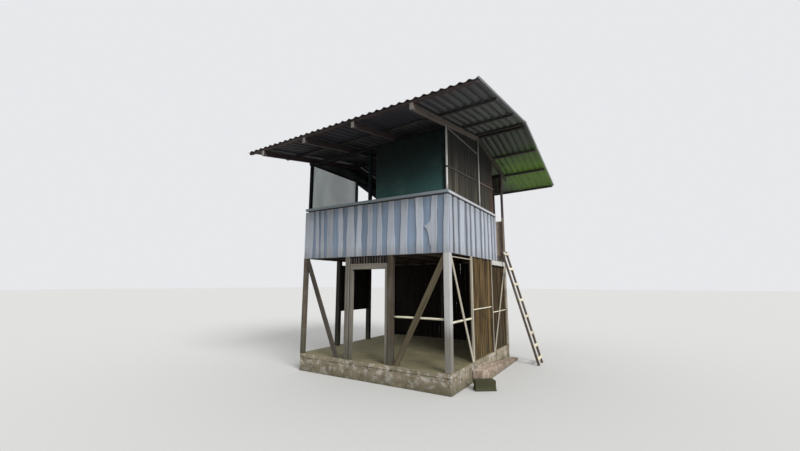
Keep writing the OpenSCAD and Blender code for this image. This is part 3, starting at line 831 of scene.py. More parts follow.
def shade_cloth(name, tone, hold, fade=None, dust=0.4):
    """Knitted shade cloth: light comes through between its threads, dirt gathers in patches, and
    its folds get painted shade. Where fade is given, painted shade darkens it towards the top and
    at the right corner, and its foot is painted lighter.
    """
    f = Finish(name)
    spot = f.grain()
    threads, loops = (
        f.node("ShaderNodeTexWave", {"Vector": spot, "Scale": 0.05 / THREAD, "Distortion": 1.5,
                                     "Detail": 2.0}, bands_direction=way).outputs["Fac"]
        for way in "XY")
    knit = f.maths("MAXIMUM", threads, f.maths("MULTIPLY", loops, 0.8))
    fold = f.cloud(f.scaled(spot, (1.2, 0.5, 1.0)), 1.4, 4.0, 0.6)
    base = f.ramp(knit, (0.1, shade(tone, 0.55)), (0.9, shade(tone, 1.2)))
    # Painted shade in the folds
    base = f.mix(f.fit(fold, 0.35, 0.7, 0.0, 0.5), base, shade(tone, 0.55))
    dusty = f.cloud(f.place(), 3.0, 5.0, 0.65)
    base = f.mix(f.fit(dusty, 0.52, 0.8, 0.0, dust), base, tint(120, 128, 118))
    if fade:
        along = f.part(f.place(), "X")
        # Painted shade under the roof, darker towards the top, and painted light at the foot
        base = f.faded(base, *fade, f.fit(along, HOUSE.x - 2.0, HOUSE.x - 0.2, 3.1, 1.6))
        # Painted shade along the right end, beside the corner post
        corner = f.fit(along, HOUSE.x - 0.16, HOUSE.x - 0.11, 0.0, 0.85)
        base = f.mix(corner, base, shade(tone, 0.1))
    open_share = f.maths("ADD", f.fit(knit, 0.0, 1.0, hold - 0.22, hold + 0.16),
                         f.fit(fold, 0.3, 0.7, -0.05, 0.08), True)
    f.put(f.surface.inputs["Alpha"], open_share)
    return f.done(base, f.fit(knit, 0.0, 1.0, 0.9, 0.7), knit, 0.4, 0.0008,
                  **{"Specular IOR Level": 0.25})


def nail_metal(name):
    """Dull rusty steel of nail heads."""
    f = Finish(name)
    spots = f.cloud(f.place(), 60.0, 4.0, 0.6)
    base = f.ramp(spots, (0.3, tint(70, 48, 36)), (0.7, tint(122, 112, 104)))
    return f.done(base, f.fit(spots, 0.3, 0.7, 0.8, 0.5), spots, 0.2, 0.0005, Metallic=0.6)


# Operators


def spacing(context):
    """The spacing of the cuts along a board and the edge wear, which most pieces share."""
    sizes = context.scene.stilt_house_sizes
    return sizes.row, sizes.worn


def dress(node, materials, slot, worn, row, seed, **look):
    """The piece of a timber node: its solids worn and grained, named after the node."""
    piece(node + "_timber", timber(node, worn, row, seed, **look), materials, [node])


def rough_block(shape, step, depth, worn, seed):
    """A cast block with a lumpy surface: cut in all three directions and pressed inwards."""
    ground = min(v.co.z for v in shape.verts)
    for way in AXES:
        cut_across(shape, way, step)
    shape.normal_update()
    for vert in shape.verts:
        if vert.co.z < ground + MERGE:
            continue
        lump = 0.5 + 0.5 * noise.fractal(vert.co * LUMPS_PER_M + UP * seed, 1.0, 2.0, 4)
        vert.co -= vert.normal * depth * min(1.0, max(0.0, lump))
        vert.co.z = max(vert.co.z, ground)
    round_edges(shape, worn)
    lay_grain(shape, AXES[1], seed)
    return shape


def cast(node, step, depth, worn, seed):
    """The solids of a cast node, each with its own lumps."""
    return [rough_block(s, step, depth, worn, seed + i) for i, s in enumerate(solids_of(node))]


class STILTHOUSE_OT_base(bpy.types.Operator):
    """Slab, foundation walls, rough footing and step block"""

    bl_idname = "stilthouse.base"
    bl_label = "Base"

    def execute(self, context):
        paints = context.scene.stilt_house_paint
        trodden = masonry("trodden slab", tint(110, 104, 78), tint(122, 114, 82), 26.0, 0.004)
        concrete = masonry("concrete", paints.concrete, tint(170, 154, 130), 14.0, 0.012, 0.55)
        footing = masonry("rough footing", paints.footing, tint(216, 188, 170), 12.0, 0.014, 0.45)
        step = masonry("step block", tint(55, 54, 30), tint(62, 59, 36), 20.0, 0.012)
        slab = cast("floor_slab", 0.16, 0.004, 0.008, 1)
        for shape in slab:
            for face in shape.faces:
                face.material_index = int(face.normal.z < 0.5)
        piece("floor_slab_cast", slab, [trodden, concrete], ["floor_slab"])
        for node in ("long_foundation_walls", "side_foundation_walls"):
            piece(node + "_cast", cast(node, 0.07, 0.018, 0.004, 0), [concrete], [node])
        blocks = cast("right_footing", 0.05, 0.026, 0.004, 7)
        smallest = min(blocks, key=lambda s: (extent(s)[1] - extent(s)[0]).length)
        fill([smallest], 1)
        piece("rough_footing_blocks", blocks, [footing, step], ["right_footing"])
        return {"FINISHED"}


class STILTHOUSE_OT_posts(bpy.types.Operator):
    """Posts of both storeys and the studs of the side walls"""

    bl_idname = "stilthouse.posts"
    bl_label = "Posts and studs"

    def execute(self, context):
        tones = context.scene.stilt_house_wood
        row, worn = spacing(context)
        pale = painted("pale post paint", context.scene.stilt_house_paint.post, 0.8, 0.3, 20.0,
                       tint(150, 142, 130), dirt=0.8, foot=HOUSE.z + 0.7)
        # Painted shade: the left post's timber darkened for the leaves over it
        grey = wood("left post timber", shade(tones.grey, LEFT_SHADE), foot=0.7)
        brown = wood("brown timber", tones.brown, 26.0, foot=0.5, bold=0.6)
        bare = wood("bare timber", tones.bare, 34.0, depth=0.4, weather=0.3, spread=0.3)
        # Painted shade: the upper posts nearly black, under the roof
        dull = wood("upper posts timber", tint(14, 24, 28), 26.0, weather=0.0, gloss=0.15)
        # Painted shade: the top of the back right post, above the rail
        dusky = wood("back post top timber", tint(62, 50, 50), 26.0, weather=0.1)
        # Painted light: the left middle post is a lighter copy of the upper posts
        bluish = wood("left middle post timber", tint(104, 122, 132), 26.0, weather=0.0)
        shaded = wood("left stud timber", shade(tones.brown, 0.3), 26.0, foot=0.5)
        door = wood("pale door post timber", tones.door, 26.0, foot=0.6, bold=0.4)
        entry = wood("back post timber", tint(136, 120, 106), 26.0, bold=0.5)
        worn_stud = wood("second stud timber", tint(180, 170, 152), 34.0, depth=0.4, spread=0.2)

        dress("front_right_post", [pale], "pale_post", worn, row, 3, way=UP)
        dress("front_left_post", [grey], "grey_timber", WELL_WORN, row, 5, way=UP)
        dress("door_posts", [brown, door], "brown_timber", worn, row, 9, way=UP,
              pick=lambda at: int(at.x < MIDDLE_X))
        dress("back_lower_posts", [shaded], "grey_timber", WELL_WORN, row, 13, way=UP)
        storey, rail = HOUSE.z + STOREY_Z, HOUSE.z + RAIL_Z
        # The part above the rail takes the painted shade
        dress("back_right_post", [entry, worn_stud, dusky], "brown_timber", WELL_WORN, row, 17,
              way=UP, pick=lambda at: int(at.z < storey) + 2 * int(at.z > rail))
        second = HOUSE.y + SECOND_STUD_Y

        def stud_kind(at):
            if at.x < MIDDLE_X:
                return 1
            if at.y < second - 0.1:
                return 0
            # The second stud's face towards the front gets the brown timber: painted shade on the
            # side away from the light
            return 3 if at.y < second + 0.003 else 2

        dress("side_studs", [bare, shaded, worn_stud, brown], "bare_timber", worn, row, 21,
              way=UP, pick=stud_kind)
        behind_y, left_x = HOUSE.y + 0.5, HOUSE.x - 3.0
        dress("upper_posts", [dull, bluish], "brown_timber", worn, row, 27, way=UP,
              pick=lambda at: int(at.y > behind_y and at.x < left_x))
        return {"FINISHED"}


class STILTHOUSE_OT_bracing(bpy.types.Operator):
    """Braces, round rails, door frame, beams, joists, plates and ties"""

    bl_idname = "stilthouse.bracing"
    bl_label = "Bracing and frame"

    def execute(self, context):
        tones = context.scene.stilt_house_wood
        row, worn = spacing(context)
        grey = wood("brace timber", tint(127, 113, 84), 28.0, weather=0.15, bold=0.6)
        bare = wood("pale brace timber", tones.bare, 34.0, depth=0.4, spread=0.25)
        door = wood("door frame timber", shade(tones.door, 0.8), 30.0, depth=0.4, spread=0.2,
                    foot=0.6)
        floor = wood("floor timber", tones.floor, 26.0)
        # Painted shade: the plates and the left tie nearly black under the roof
        beam = wood("plate timber", tint(34, 35, 38), 26.0, weather=0.1, gloss=0.15)
        # Painted shade: the left brace's timber darkened for the leaves over it
        left = wood("left brace timber", shade(tones.grey, LEFT_SHADE), 28.0)
        tie = wood("right tie timber", tint(128, 124, 126), 26.0, depth=0.35)
        pole = wood("lower rail poles", tint(238, 232, 206), 34.0, depth=0.3, weather=0.1,
                    spread=0.1)

        dress("front_braces", [grey, left], "grey_timber", worn, row, 41,
              pick=lambda at: int(at.x < MIDDLE_X))
        dress("side_braces", [bare], "bare_timber", worn, row, 45)
        piece("lower_rails_poles", timber("lower_rails", 0, 0.12, 49, bow=0.006, smooth=True),
              [pole], ["lower_rails"])
        dress("door_jambs", [door], "door_timber", worn, row, 53, way=UP)
        dress("door_header", [door], "door_timber", worn, row, 57)
        dress("floor_beams", [floor], "floor_timber", worn, row, 61)
        dress("floor_joists", [floor], "floor_timber", worn, row, 65)
        # Wall plates and the left tie take the painted shade
        dress("wall_plates", [beam], "rafter_timber", worn, row, 75)
        dress("side_ties", [beam, tie], "rafter_timber", worn, row, 79,
              pick=lambda at: int(at.x > MIDDLE_X))
        return {"FINISHED"}


class STILTHOUSE_OT_lower_boards(bpy.types.Operator):
    """Upright slabs of the ground storey, the slats over the door and the hanging panel"""

    bl_idname = "stilthouse.lower_boards"
    bl_label = "Lower boards"

    def execute(self, context):
        brown = context.scene.stilt_house_wood.slabs
        row, worn = spacing(context)
        # The slabs at the back are a darker copy of the slabs: painted shade
        slabs, shady = (
            wood(name, shade(brown, level), 24.0, 7.0, 0.9, 0.05, 0.5, foot=0.35, bold=1.0,
                 bands=17.0, gloss=0.2)
            for name, level in (("brown slabs", 1.14), ("brown slabs at the back", 0.66)))
        # Painted shade: the lining behind the gaps between the slabs is nearly black
        lining = wood("slab lining", shade(brown, 0.22), 30.0)
        outside = wood("back boards", shade(brown, 0.8), 30.0, 3.0, 0.6, 0.4, 0.5, bold=0.6)
        # Painted shade: the back boards nearly black on their inner side
        shaded_inside = wood("back boards from inside", shade(brown, 0.045), 30.0, weather=0.05,
                     gloss=0.15)
        slats = wood("door slats", tint(98, 90, 85), 44.0, 3.0, 0.7, 0.05, 0.6, gloss=0.15)
        # Painted shade: every second slat nearly black, for the dark spaces between the slats
        dark_slats = wood("dark door slats", tint(16, 15, 15), 44.0, 3.0, 0.7, 0.0, 0.4,
                          gloss=0.15)
        dark = wood("hanging panel", tint(37, 40, 31), 30.0, weather=0.1, bold=0.4, gloss=0.15)

        low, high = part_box("right_lower_wall")
        outer, inner = low.copy(), high.copy()
        outer.x += 0.010
        inner.x = outer.x - 0.001
        shapes = board_wall(outer, high, 2, 1, SLAB_W, 0.012, 101, SLAB_ROW, worn, 0.020)
        back_bay = HOUSE.y + BACK_BAY_Y
        # Slabs beyond the back bay take the painted shade
        for shape in shapes:
            mark(shape, lambda at: 2 * int(at.y > back_bay))
        shapes += fill(board_wall(low, inner, 2, 1, 0.24, 0.002, 131, LONG_ROW, 0.001), 1)
        piece("right_lower_slabs", shapes, [slabs, lining, shady],
              ["right_lower_wall"])

        low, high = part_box("back_lower_wall")
        face_y = high.y - BACK_BOARD_T
        step = (HOUSE.x - SKIN_T - low.x) / BACK_BOARDS
        shapes = []
        for i in range(BACK_BOARDS):
            left = low.x + i * step
            start = Vector((left + BACK_SEAM, face_y, low.z))
            end = Vector((left + step - BACK_SEAM, high.y, high.z))
            shapes.append(board(start, end, 2, 0, 151 + i, SLAB_ROW, 0.001, 0.007))
        for i, z in enumerate(BATTEN_ZS):
            start = Vector((low.x, low.y, HOUSE.z + z))
            end = Vector((HOUSE.x - BATTEN_END_X, face_y, HOUSE.z + z + BATTEN_H))
            shapes.append(board(start, end, 0, 2, 181 + i, row, worn))
        # Inner faces take the painted shade
        for shape in shapes:
            mark(shape, lambda at: int(at.y < high.y - 0.002))
        piece("back_lower_boards", shapes, [outside, shaded_inside], ["back_lower_wall"])

        low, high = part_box("over_door_boards")
        shapes = board_wall(low, high, 2, 0, 0.036, 0.004, 191, row, 0.003, 0.003)
        # Every second slat takes the painted shade
        for i, shape in enumerate(shapes):
            fill([shape], i % 2)
        piece("over_door_slats", shapes, [slats, dark_slats], ["over_door_boards"])

        low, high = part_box("left_lower_panel")
        shapes = board_wall(low, high, 2, 1, SLAB_W, 0.008, 211, row, worn, 0.006)
        piece("left_hanging_panel", shapes, [dark], ["left_lower_panel"])
        return {"FINISHED"}


class STILTHOUSE_OT_deck(bpy.types.Operator):
    """Boards of the upper floor and the white board at the ladder"""

    bl_idname = "stilthouse.deck"
    bl_label = "Deck"

    def execute(self, context):
        row, worn = spacing(context)
        floor = wood("deck boards", context.scene.stilt_house_wood.floor, 26.0)
        white = painted("entry board paint", tint(214, 212, 206), 0.7, 0.3, 22.0)
        low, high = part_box("floor_deck")
        shapes = board_wall(low, high, 0, 1, 0.150, 0.005, 231, LONG_ROW, 0.002)
        piece("floor_deck_boards", shapes, [floor], ["floor_deck"])
        dress("entry_board", [white], "white_board", worn, row, 261)
        return {"FINISHED"}


class STILTHOUSE_OT_cladding(bpy.types.Operator):
    """Blue boards, the pale wavy boards over their joints, and the cap rails"""

    bl_idname = "stilthouse.cladding"
    bl_label = "Painted boards"

    def execute(self, context):
        paints = context.scene.stilt_house_paint
        row = context.scene.stilt_house_sizes.row
        low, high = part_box("front_pale_boards")
        top, foot = high.z, low.z
        blue = painted("blue boards paint", paints.blue, 0.5, 0.3, 24.0, tint(110, 106, 100),
                       0.22, 0.45, top, foot, low.x)
        pale = painted("pale boards paint", paints.pale, 0.7, 0.24, 24.0, tint(140, 132, 124),
                       0.2, 0.45, top, foot, low.x)
        # The side boards take darker copies of the front paints, as painted shade; the blue there
        # is also mixed towards the pale
        side_tone = shade(towards(paints.blue, paints.pale, 0.45), 0.72)
        side_blue = painted("side blue boards paint", side_tone, 0.5, 0.3, 24.0,
                            tint(110, 106, 100), 0.3, 0.3, top, foot)
        side_pale = painted("side pale boards paint", shade(paints.pale, 0.92), 0.7, 0.25, 24.0,
                            tint(140, 136, 132), 0.2, 0.3, top, foot)
        raw = wood("boards from inside", tint(96, 84, 70), 26.0)
        rail = painted("front rail paint", paints.rail, 0.8, 0.4, 22.0)
        side_rail = painted("side rail paint", paints.side_rail, 0.5, 0.2, 22.0)

        # The blue boards meet behind the middles of the pale ones
        pale_boards = timber("front_pale_boards", 0.003, row, 331, UP, 0.0)
        levels = (foot + 0.01, top - 0.01)
        middles = sorted(sum(sum(reach_at(s, 0, z)) for z in levels) / 4 for s in pale_boards)
        piece("front_pale_planks", pale_boards, [pale, raw], ["front_pale_boards"],
              back=AXES[1])

        low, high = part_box("front_blue_boards")
        shapes = []
        for i, (left, right) in enumerate(zip([low.x, *middles], [*middles, high.x])):
            start = Vector((left + 0.001, low.y, low.z))
            end = Vector((right - 0.001, high.y, high.z))
            shapes.append(board(start, end, 2, 0, 301 + i, row, 0.002, 0.004))
        piece("front_blue_planks", shapes, [blue, raw], ["front_blue_boards"],
              back=AXES[1])

        shapes = []
        for i, solid in enumerate(solids_of("side_blue_boards")):
            low, high = extent(solid)
            solid.free()
            shape = board(low, high, 2, 1, 351 + i, row, 0.002, 0.005)
            inner = -AXES[0] if high.x > 0 else AXES[0]
            for face in shape.faces:
                # Faces towards the inside are bare wood; the edge faces in the slits take the same
                # dark material as painted shade
                back_or_slit_face = face.normal.dot(inner) > FACING or abs(face.normal.y) > FACING
                face.material_index = int(back_or_slit_face)
            shapes.append(shape)
        piece("side_blue_planks", shapes, [side_blue, raw], ["side_blue_boards"])
        shapes = timber("side_pale_boards", 0.003, row, 401, UP, 0.0)
        piece("side_pale_planks", shapes, [side_pale], ["side_pale_boards"])

        ledge_y, ledge_z = HOUSE.y + SKIN_T - 0.005, HOUSE.z + RAIL_Z
        dress("front_cap_rail", [rail, raw], "rail_paint", WELL_WORN, row, 431,
              pick=lambda at: int(at.y > ledge_y and at.z < ledge_z))
        dress("side_cap_rails", [side_rail], "rail_paint", WELL_WORN, row, 433)
        return {"FINISHED"}


class STILTHOUSE_OT_upper_boards(bpy.types.Operator):
    """Dark upright boards of the upper room and the sloping lath on them"""

    bl_idname = "stilthouse.upper_boards"
    bl_label = "Upper boards"

    def execute(self, context):
        tone = context.scene.stilt_house_wood.dark
        row, worn = spacing(context)
        # Both take painted shade over height, darker towards the top under the roof
        dark = wood("upper dark boards", tint(95, 88, 72), 30.0, 3.4, 0.7, 0.15, 0.6,
                    bold=0.8, fade=BOARD_FADE, gloss=0.3)
        reddish = wood("reddish upper boards", tint(104, 76, 60), 30.0, 3.4, 0.7, 0.1, 0.6,
                       bold=0.6, fade=BOARD_FADE, gloss=0.3)
        plain = wood("back upper boards", tone, 30.0, 3.0, 0.6, 0.3, 0.5, bold=0.5)
        # Painted shade: the backing behind the gaps nearly black
        lining = wood("upper boards lining", shade(tone, 0.12), 30.0, weather=0.0)
        dim = wood("front sloping lath", shade(tone, 0.3), 30.0)
        light = wood("back sloping lath", tint(104, 84, 70), 30.0)
        # Painted light: the inner faces near the entry opening nearly white, as lit from the
        # opening
        warm = wood("entry corner boards", tint(244, 222, 204), 30.0, depth=0.3, weather=0.0,
                    spread=0.1)
        planes = rafter_planes()
        low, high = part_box("right_upper_boards")
        wall_high = Vector((low.x + UPPER_BOARD_T, high.y, high.z + 0.1))
        front_low, back_high = low.copy(), wall_high.copy()
        front_low.x = low.x + 0.004
        back_high.x = front_low.x - 0.0005
        shapes = board_wall(front_low, wall_high, 2, 1, 0.190, 0.007, 451, row, worn, 0.006,
                            planes)
        last_bay = HOUSE.y + LAST_BAY_Y
        for shape in shapes:
            mark(shape, lambda at: 4 * int(at.y > last_bay))
        # The backing takes the painted shade
        backing = board_wall(low, back_high, 2, 1, 0.27, 0.001, 471, LONG_ROW, 0.0005, 0.0,
                             planes)
        shapes += fill(backing, 3)
        face_x = HOUSE.x - SKIN_T + LATH_T / 2
        for i, reach in enumerate(LATH_YS):
            ends = [Vector((face_x, HOUSE.y + y, HOUSE.z + LATH_Z + (y - LATH_Y) * LATH_RISE))
                    for y in reach]
            shapes += fill([stick(*ends, LATH_W, LATH_T, AXES[0], 481 + i, row, 0.003)], 1 + i)
        piece("right_upper_planks", shapes, [dark, dim, light, lining, reddish],
              ["right_upper_boards"])

        low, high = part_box("back_upper_boards")
        gap_start, gap_end = HOUSE.x - BACK_GAP_X, HOUSE.x - SKIN_T
        rail, gap_top = HOUSE.z + RAIL_Z, HOUSE.z + BACK_GAP_TOP_Z
        tall = Vector((gap_start, high.y, high.z + 0.1))
        shapes = board_wall(low, tall, 2, 0, 0.200, 0.006, 501, row, worn, 0.005, planes)
        start = Vector((gap_start + 0.003, low.y, low.z))
        shapes.append(board(start, Vector((gap_end, high.y, rail)), 2, 0, 531, row, 0.002))
        for shape in shapes:
            for face in shape.faces:
                at = face.calc_center_median()
                # Inner faces near the entry take the painted light
                inner = face.normal.y < 0.5 and at.x > HOUSE.x - 1.1 and at.z < rail
                face.material_index = int(inner)
        shapes += board_wall(Vector((gap_start + 0.004, low.y, gap_top)),
                             Vector((gap_end, high.y, high.z + 0.1)),
                             2, 0, 0.1, 0.006, 541, row, worn, 0.004, planes)
        piece("back_upper_planks", shapes, [plain, warm], ["back_upper_boards"])
        return {"FINISHED"}


class STILTHOUSE_OT_poles(bpy.types.Operator):
    """The two thin poles of the right side and the binding on the front one"""

    bl_idname = "stilthouse.poles"
    bl_label = "Thin poles"

    def execute(self, context):
        tone = context.scene.stilt_house_paint.pole
        white = painted("pole paint", tone, 0.9, 0.3, 60.0, tint(120, 114, 106))
        dull = wood("pole binding", tint(62, 58, 54), 60.0)
        # The pole further back takes the same paint at half the brightness
        dimmer_pole = painted("dimmer pole paint", shade(tone, 0.5), 0.9, 0.3, 60.0, tint(96, 92, 86))
        shapes = timber("right_side_poles", 0, 0.15, 541, UP, 0.004, smooth=True,
                        pick=lambda at: int(at.y > HOUSE.y + 1.0))
        piece("right_side_pole_shafts", shapes, [white, dimmer_pole],
              ["right_side_poles"])

        # The binding: a small circle turned about the pole, then stretched along it
        ring = bmesh.new()
        start = Vector((HOUSE.x - POLE_C + BINDING_R, HOUSE.y + POLE_C, HOUSE.z + BINDING_Z))
        facing = Matrix.Translation(start) @ Matrix.Rotation(math.pi / 2, 4, "X")
        bmesh.ops.create_circle(ring, cap_ends=False, radius=0.006, segments=8, matrix=facing)
        bmesh.ops.spin(ring, geom=[*ring.verts, *ring.edges], cent=start - AXES[0] * BINDING_R,
                       axis=UP, angle=2 * math.pi, steps=20, use_merge=True, use_duplicate=False)
        bmesh.ops.remove_doubles(ring, verts=ring.verts, dist=MERGE)
        bmesh.ops.scale(ring, vec=(1, 1, 3.5), verts=ring.verts,
                        space=Matrix.Translation(-start))
        bmesh.ops.recalc_face_normals(ring, faces=ring.faces)
        lay_grain(ring, UP, 545)
        piece("pole_binding", [ring], [dull])
        return {"FINISHED"}


class STILTHOUSE_OT_nets(bpy.types.Operator):
    """Shade cloth of the front, the left side and the left gable"""

    bl_idname = "stilthouse.nets"
    bl_label = "Nets"

    def execute(self, context):
        paints = context.scene.stilt_house_paint
        sag = context.scene.stilt_house_sizes.sag
        front = shade_cloth("front shade cloth", paints.net, 0.95, NET_FADE, 0.10)
        side = shade_cloth("side shade cloth", paints.side_net, 0.49, dust=0.12)
        # The gable cloth is a darker copy of the front cloth: painted shade
        back = shade_cloth("gable shade cloth", shade(paints.net, 0.45), 0.98)
        self.hang("front_net_cloth", "front_shade_net", front, "front_net", 0, sag, 601,
                  ["wall_plates", "front_cap_rail"])
        self.hang("left_net_cloth", "left_shade_net", side, "side_net", 1, sag, 602,
                  ["side_ties", "side_cap_rails"])
        self.hang("gable_net_cloth", "back_left_shade_net", back, "front_net", 1, sag, 603,
                  ["side_ties", "back_rafters"])
        return {"FINISHED"}

    def hang(self, name, node, material, slot, run, sag, seed, held_by):
        """Cloth pinned along the outline of its node, loose between the pins."""
        outline = copy_of(node)
        face = max(outline.faces, key=lambda f: f.calc_area())
        depth = 1 - run
        low, high = extent(outline)
        middle = (low[depth] + high[depth]) / 2
        flat_area = face.calc_area()
        cloth = bmesh.new()
        corners = []
        for vert in face.verts:
            spot = vert.co.copy()
            spot[depth] = middle
            corners.append(cloth.verts.new(spot))
        cloth.faces.new(corners)
        outline.free()
        for way in (AXES[run], UP):
            cut_across(cloth, way, CLOTH_STEP)
        grain = cloth.loops.layers.uv.new("grain")
        for sheet_face in cloth.faces:
            sheet_face.smooth = True
            for loop in sheet_face.loops:
                loop[grain].uv = (loop.vert.co[run], loop.vert.co.z)
        for vert in cloth.verts:
            across = (vert.co[run] - low[run]) / (high[run] - low[run])
            tall = (vert.co.z - low.z) / (high.z - low.z)
            hold = math.sin(math.pi * min(1.0, max(0.0, across))) ** 0.5
            hang = math.sin(math.pi * min(1.0, max(0.0, tall))) ** 0.5
            ripple = math.sin(across * 17 + 2.0 * noise.noise(vert.co * 1.4))
            folds = noise.noise(Vector((vert.co[run] * 5.0, vert.co.z * 1.2, seed)))
            vert.co[depth] += sag * hold * (0.45 * hang * ripple * (1.2 - tall) + 0.8 * folds)
        made = linked(name, cloth, [material])
        thick = made.modifiers.new("thickness", "SOLIDIFY")
        thick.thickness = CLOTH_T
        thick.offset = 0.0
        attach(made, "root")
        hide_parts(node)
        width, tall = high[run] - low[run], high.z - low.z


class STILTHOUSE_OT_roof_timber(bpy.types.Operator):
    """Rafters and purlins"""

    bl_idname = "stilthouse.roof_timber"
    bl_label = "Roof timber"

    def execute(self, context):
        tones = context.scene.stilt_house_wood
        row, worn = spacing(context)
        front = wood("right rafter timber", tones.rafter, 28.0, weather=0.3)
        # Painted shade: the right rafter behind the ridge darker
        back = wood("back rafter timber", tint(74, 69, 56), 28.0, weather=0.1)
        shaded = wood("rafter timber", tint(84, 71, 71), 28.0, weather=0.1)
        sawn = wood("rafter ends", tint(150, 142, 136), 60.0, depth=0.3)
        purlin = wood("purlin timber", tones.purlin, 26.0)
        eave = wood("eave purlin timber", tint(66, 50, 50), 26.0)

        def kind(at):
            if at.y < HOUSE.y + FRONT_EAVE_Y + 0.040:
                return 2
            return int(at.x < HOUSE.x - 0.3)

        for node, seed, right in (("front_rafters", 621, front), ("back_rafters", 631, back)):
            dress(node, [right, shaded, sawn], "rafter_timber", worn, row, seed, pick=kind)
        first = HOUSE.y + FRONT_PURLIN_YS[0] + 0.1
        dress("roof_purlins", [purlin, eave], "purlin_timber", worn, row, 641,
              pick=lambda at: int(at.y < first))
        return {"FINISHED"}


def slope_frame(back, lift):
    """The plane of the sheets on one slope: x along the ridge, y up the slope, z out of it."""
    peak_z = RIDGE_Y * math.tan(ROOF_PITCH) + (RAFTER_D + PURLIN_H + lift) / math.cos(ROOF_PITCH)
    tip = Matrix.Translation((0, RIDGE_Y, peak_z))
    turn = Matrix.Rotation(ROOF_PITCH, 4, "X")
    flip = Matrix.Scale(-1, 4, AXES[1]) if back else Matrix.Identity(4)
    return ROOF_FRAME @ tip @ flip @ turn


def wave(share):
    """Height of the corrugation at a share of the way along one wave."""
    turn = math.cos(2 * math.pi * share)
    return WAVE_H * (0.5 - 0.5 * turn) * (0.75 - 0.25 * turn)


class STILTHOUSE_OT_roof_sheets(bpy.types.Operator):
    """Corrugated sheets laid side by side with laps, and the ridge cap"""

    bl_idname = "stilthouse.roof_sheets"
    bl_label = "Roof sheets"

    def execute(self, context):
        paints = context.scene.stilt_house_paint
        thick = context.scene.stilt_house_sizes.sheet
        upper = roof_upper("roof from above", paints.zinc, paints.rust)
        under = roof_under("roof from below", paints.under, paints.plant_light, paints.rust)
        up_slope = 1 / math.cos(ROOF_PITCH)
        front_end = (RIDGE_Y - FRONT_EAVE_Y) * up_slope
        lap = (LAP_Y - RIDGE_Y) * up_slope
        back_end = (BACK_EAVE_Y - RIDGE_Y) * up_slope
        shapes = self.course(False, RIDGE_GAP, front_end, 0.0, thick, 701)
        piece("front_roof_corrugated", shapes, [upper, under], ["front_roof_sheets"])
        shapes = self.course(True, RIDGE_GAP, lap, SHEET_T, thick, 721)
        shapes += self.course(True, lap - LAP_LENGTH * up_slope, back_end, 0.0, thick, 741)
        piece("back_roof_corrugated", shapes, [upper, under], ["back_roof_sheets"])
        cap = solids_of("ridge_cap")
        for i, shape in enumerate(cap):
            cut_across(shape, long_way(shape), 0.3)
            round_edges(shape, 0.001)
            lay_grain(shape, AXES[1], 761 + i)
        piece("ridge_cap_metal", cap, [upper], ["ridge_cap"])
        return {"FINISHED"}

    def course(self, back, start, end, lift, thick, seed):
        """One row of sheets from the left verge to the right, each lapping the next by a wave."""
        shapes = []
        for i in range(WAVES // SHEET_WAVES):
            first = i * SHEET_WAVES
            last = min(WAVES, first + SHEET_WAVES + 1)
            short = 0.006 * chance(seed + i)
            shapes.append(self.sheet(back, first, last, start, end - short, lift, thick, seed + i))
        return shapes

    def sheet(self, back, first, last, start, end, lift, thick, seed):
        """One thin sheet from its first wave to its last, laid on the slope."""
        width = (last - first) * WAVE_PITCH
        rows = max(4, round((end - start) / 0.16))
        shape = bmesh.new()
        flat = Matrix.LocRotScale(
            Vector((ROOF_LEFT + first * WAVE_PITCH + width / 2, -(start + end) / 2, 0)), None,
            Vector((width, end - start, 1.0)))
        bmesh.ops.create_grid(shape, x_segments=(last - first) * 12, y_segments=rows, size=0.5,
                              matrix=flat)
        tone = shape.faces.layers.float.new("tone")
        edge = shape.faces.layers.float.new("edge")
        verge = shape.faces.layers.float.new("verge")
        grain = shape.loops.layers.uv.new("grain")
        shift = 5.0 * chance(seed + 0.4)
        level = chance(seed + 0.8)
        for face in shape.faces:
            face.smooth = True
            middle = face.calc_center_median()
            side = min(middle.x - ROOF_LEFT - first * WAVE_PITCH,
                       ROOF_LEFT + last * WAVE_PITCH - middle.x)
            tip = end + middle.y
            face[tone] = level
            face[edge] = max(0.0, 1 - side / 0.06, 1 - tip / 0.12)
            for loop in face.loops:
                loop[grain].uv = (loop.vert.co.y + shift, loop.vert.co.x)
        room = SHEET_T - thick - 0.0002
        for vert in shape.verts:
            across = (vert.co.x - ROOF_LEFT) / WAVE_PITCH
            share = (across - first) / (last - first)
            dent = 0.5 + 0.5 * noise.noise(Vector((vert.co.x * 1.7, vert.co.y * 1.3, seed)))
            vert.co.z = wave(across + CREST) + room * (0.65 * share + 0.35 * dent)
        bmesh.ops.solidify(shape, geom=shape.faces[:], thickness=thick)
        bmesh.ops.recalc_face_normals(shape, faces=shape.faces)
        low = min(v.co.z for v in shape.verts)
        bmesh.ops.translate(shape, vec=UP * -min(0.0, low), verts=shape.verts)
        # The faces along the right verge are marked for the painted highlight
        verge_x = ROOF_LEFT + ROOF_LENGTH - VERGE_W
        for face in shape.faces:
            face.material_index = int(face.normal.z < 0)
            face[verge] = float(face.calc_center_median().x > verge_x)
        bmesh.ops.transform(shape, matrix=slope_frame(back, lift), verts=shape.verts)
        if back:
            bmesh.ops.reverse_faces(shape, faces=shape.faces)
        return shape


class STILTHOUSE_OT_ladder(bpy.types.Operator):
    """Rails and rungs of the leaning ladder"""

    bl_idname = "stilthouse.ladder"
    bl_label = "Ladder"

    def execute(self, context):
        tones = context.scene.stilt_house_wood
        row, worn = spacing(context)
        rails = wood("ladder rail timber", tones.ladder, 26.0)
        rungs = wood("rung timber", tones.rung, 30.0, depth=0.35, weather=0.2, spread=0.2)
        dress("ladder_rails", [rails], "ladder_timber", 0.007, row, 801)
        dress("ladder_rungs", [rungs], "rung_timber", worn, row, 811, way=AXES[1])
        return {"FINISHED"}


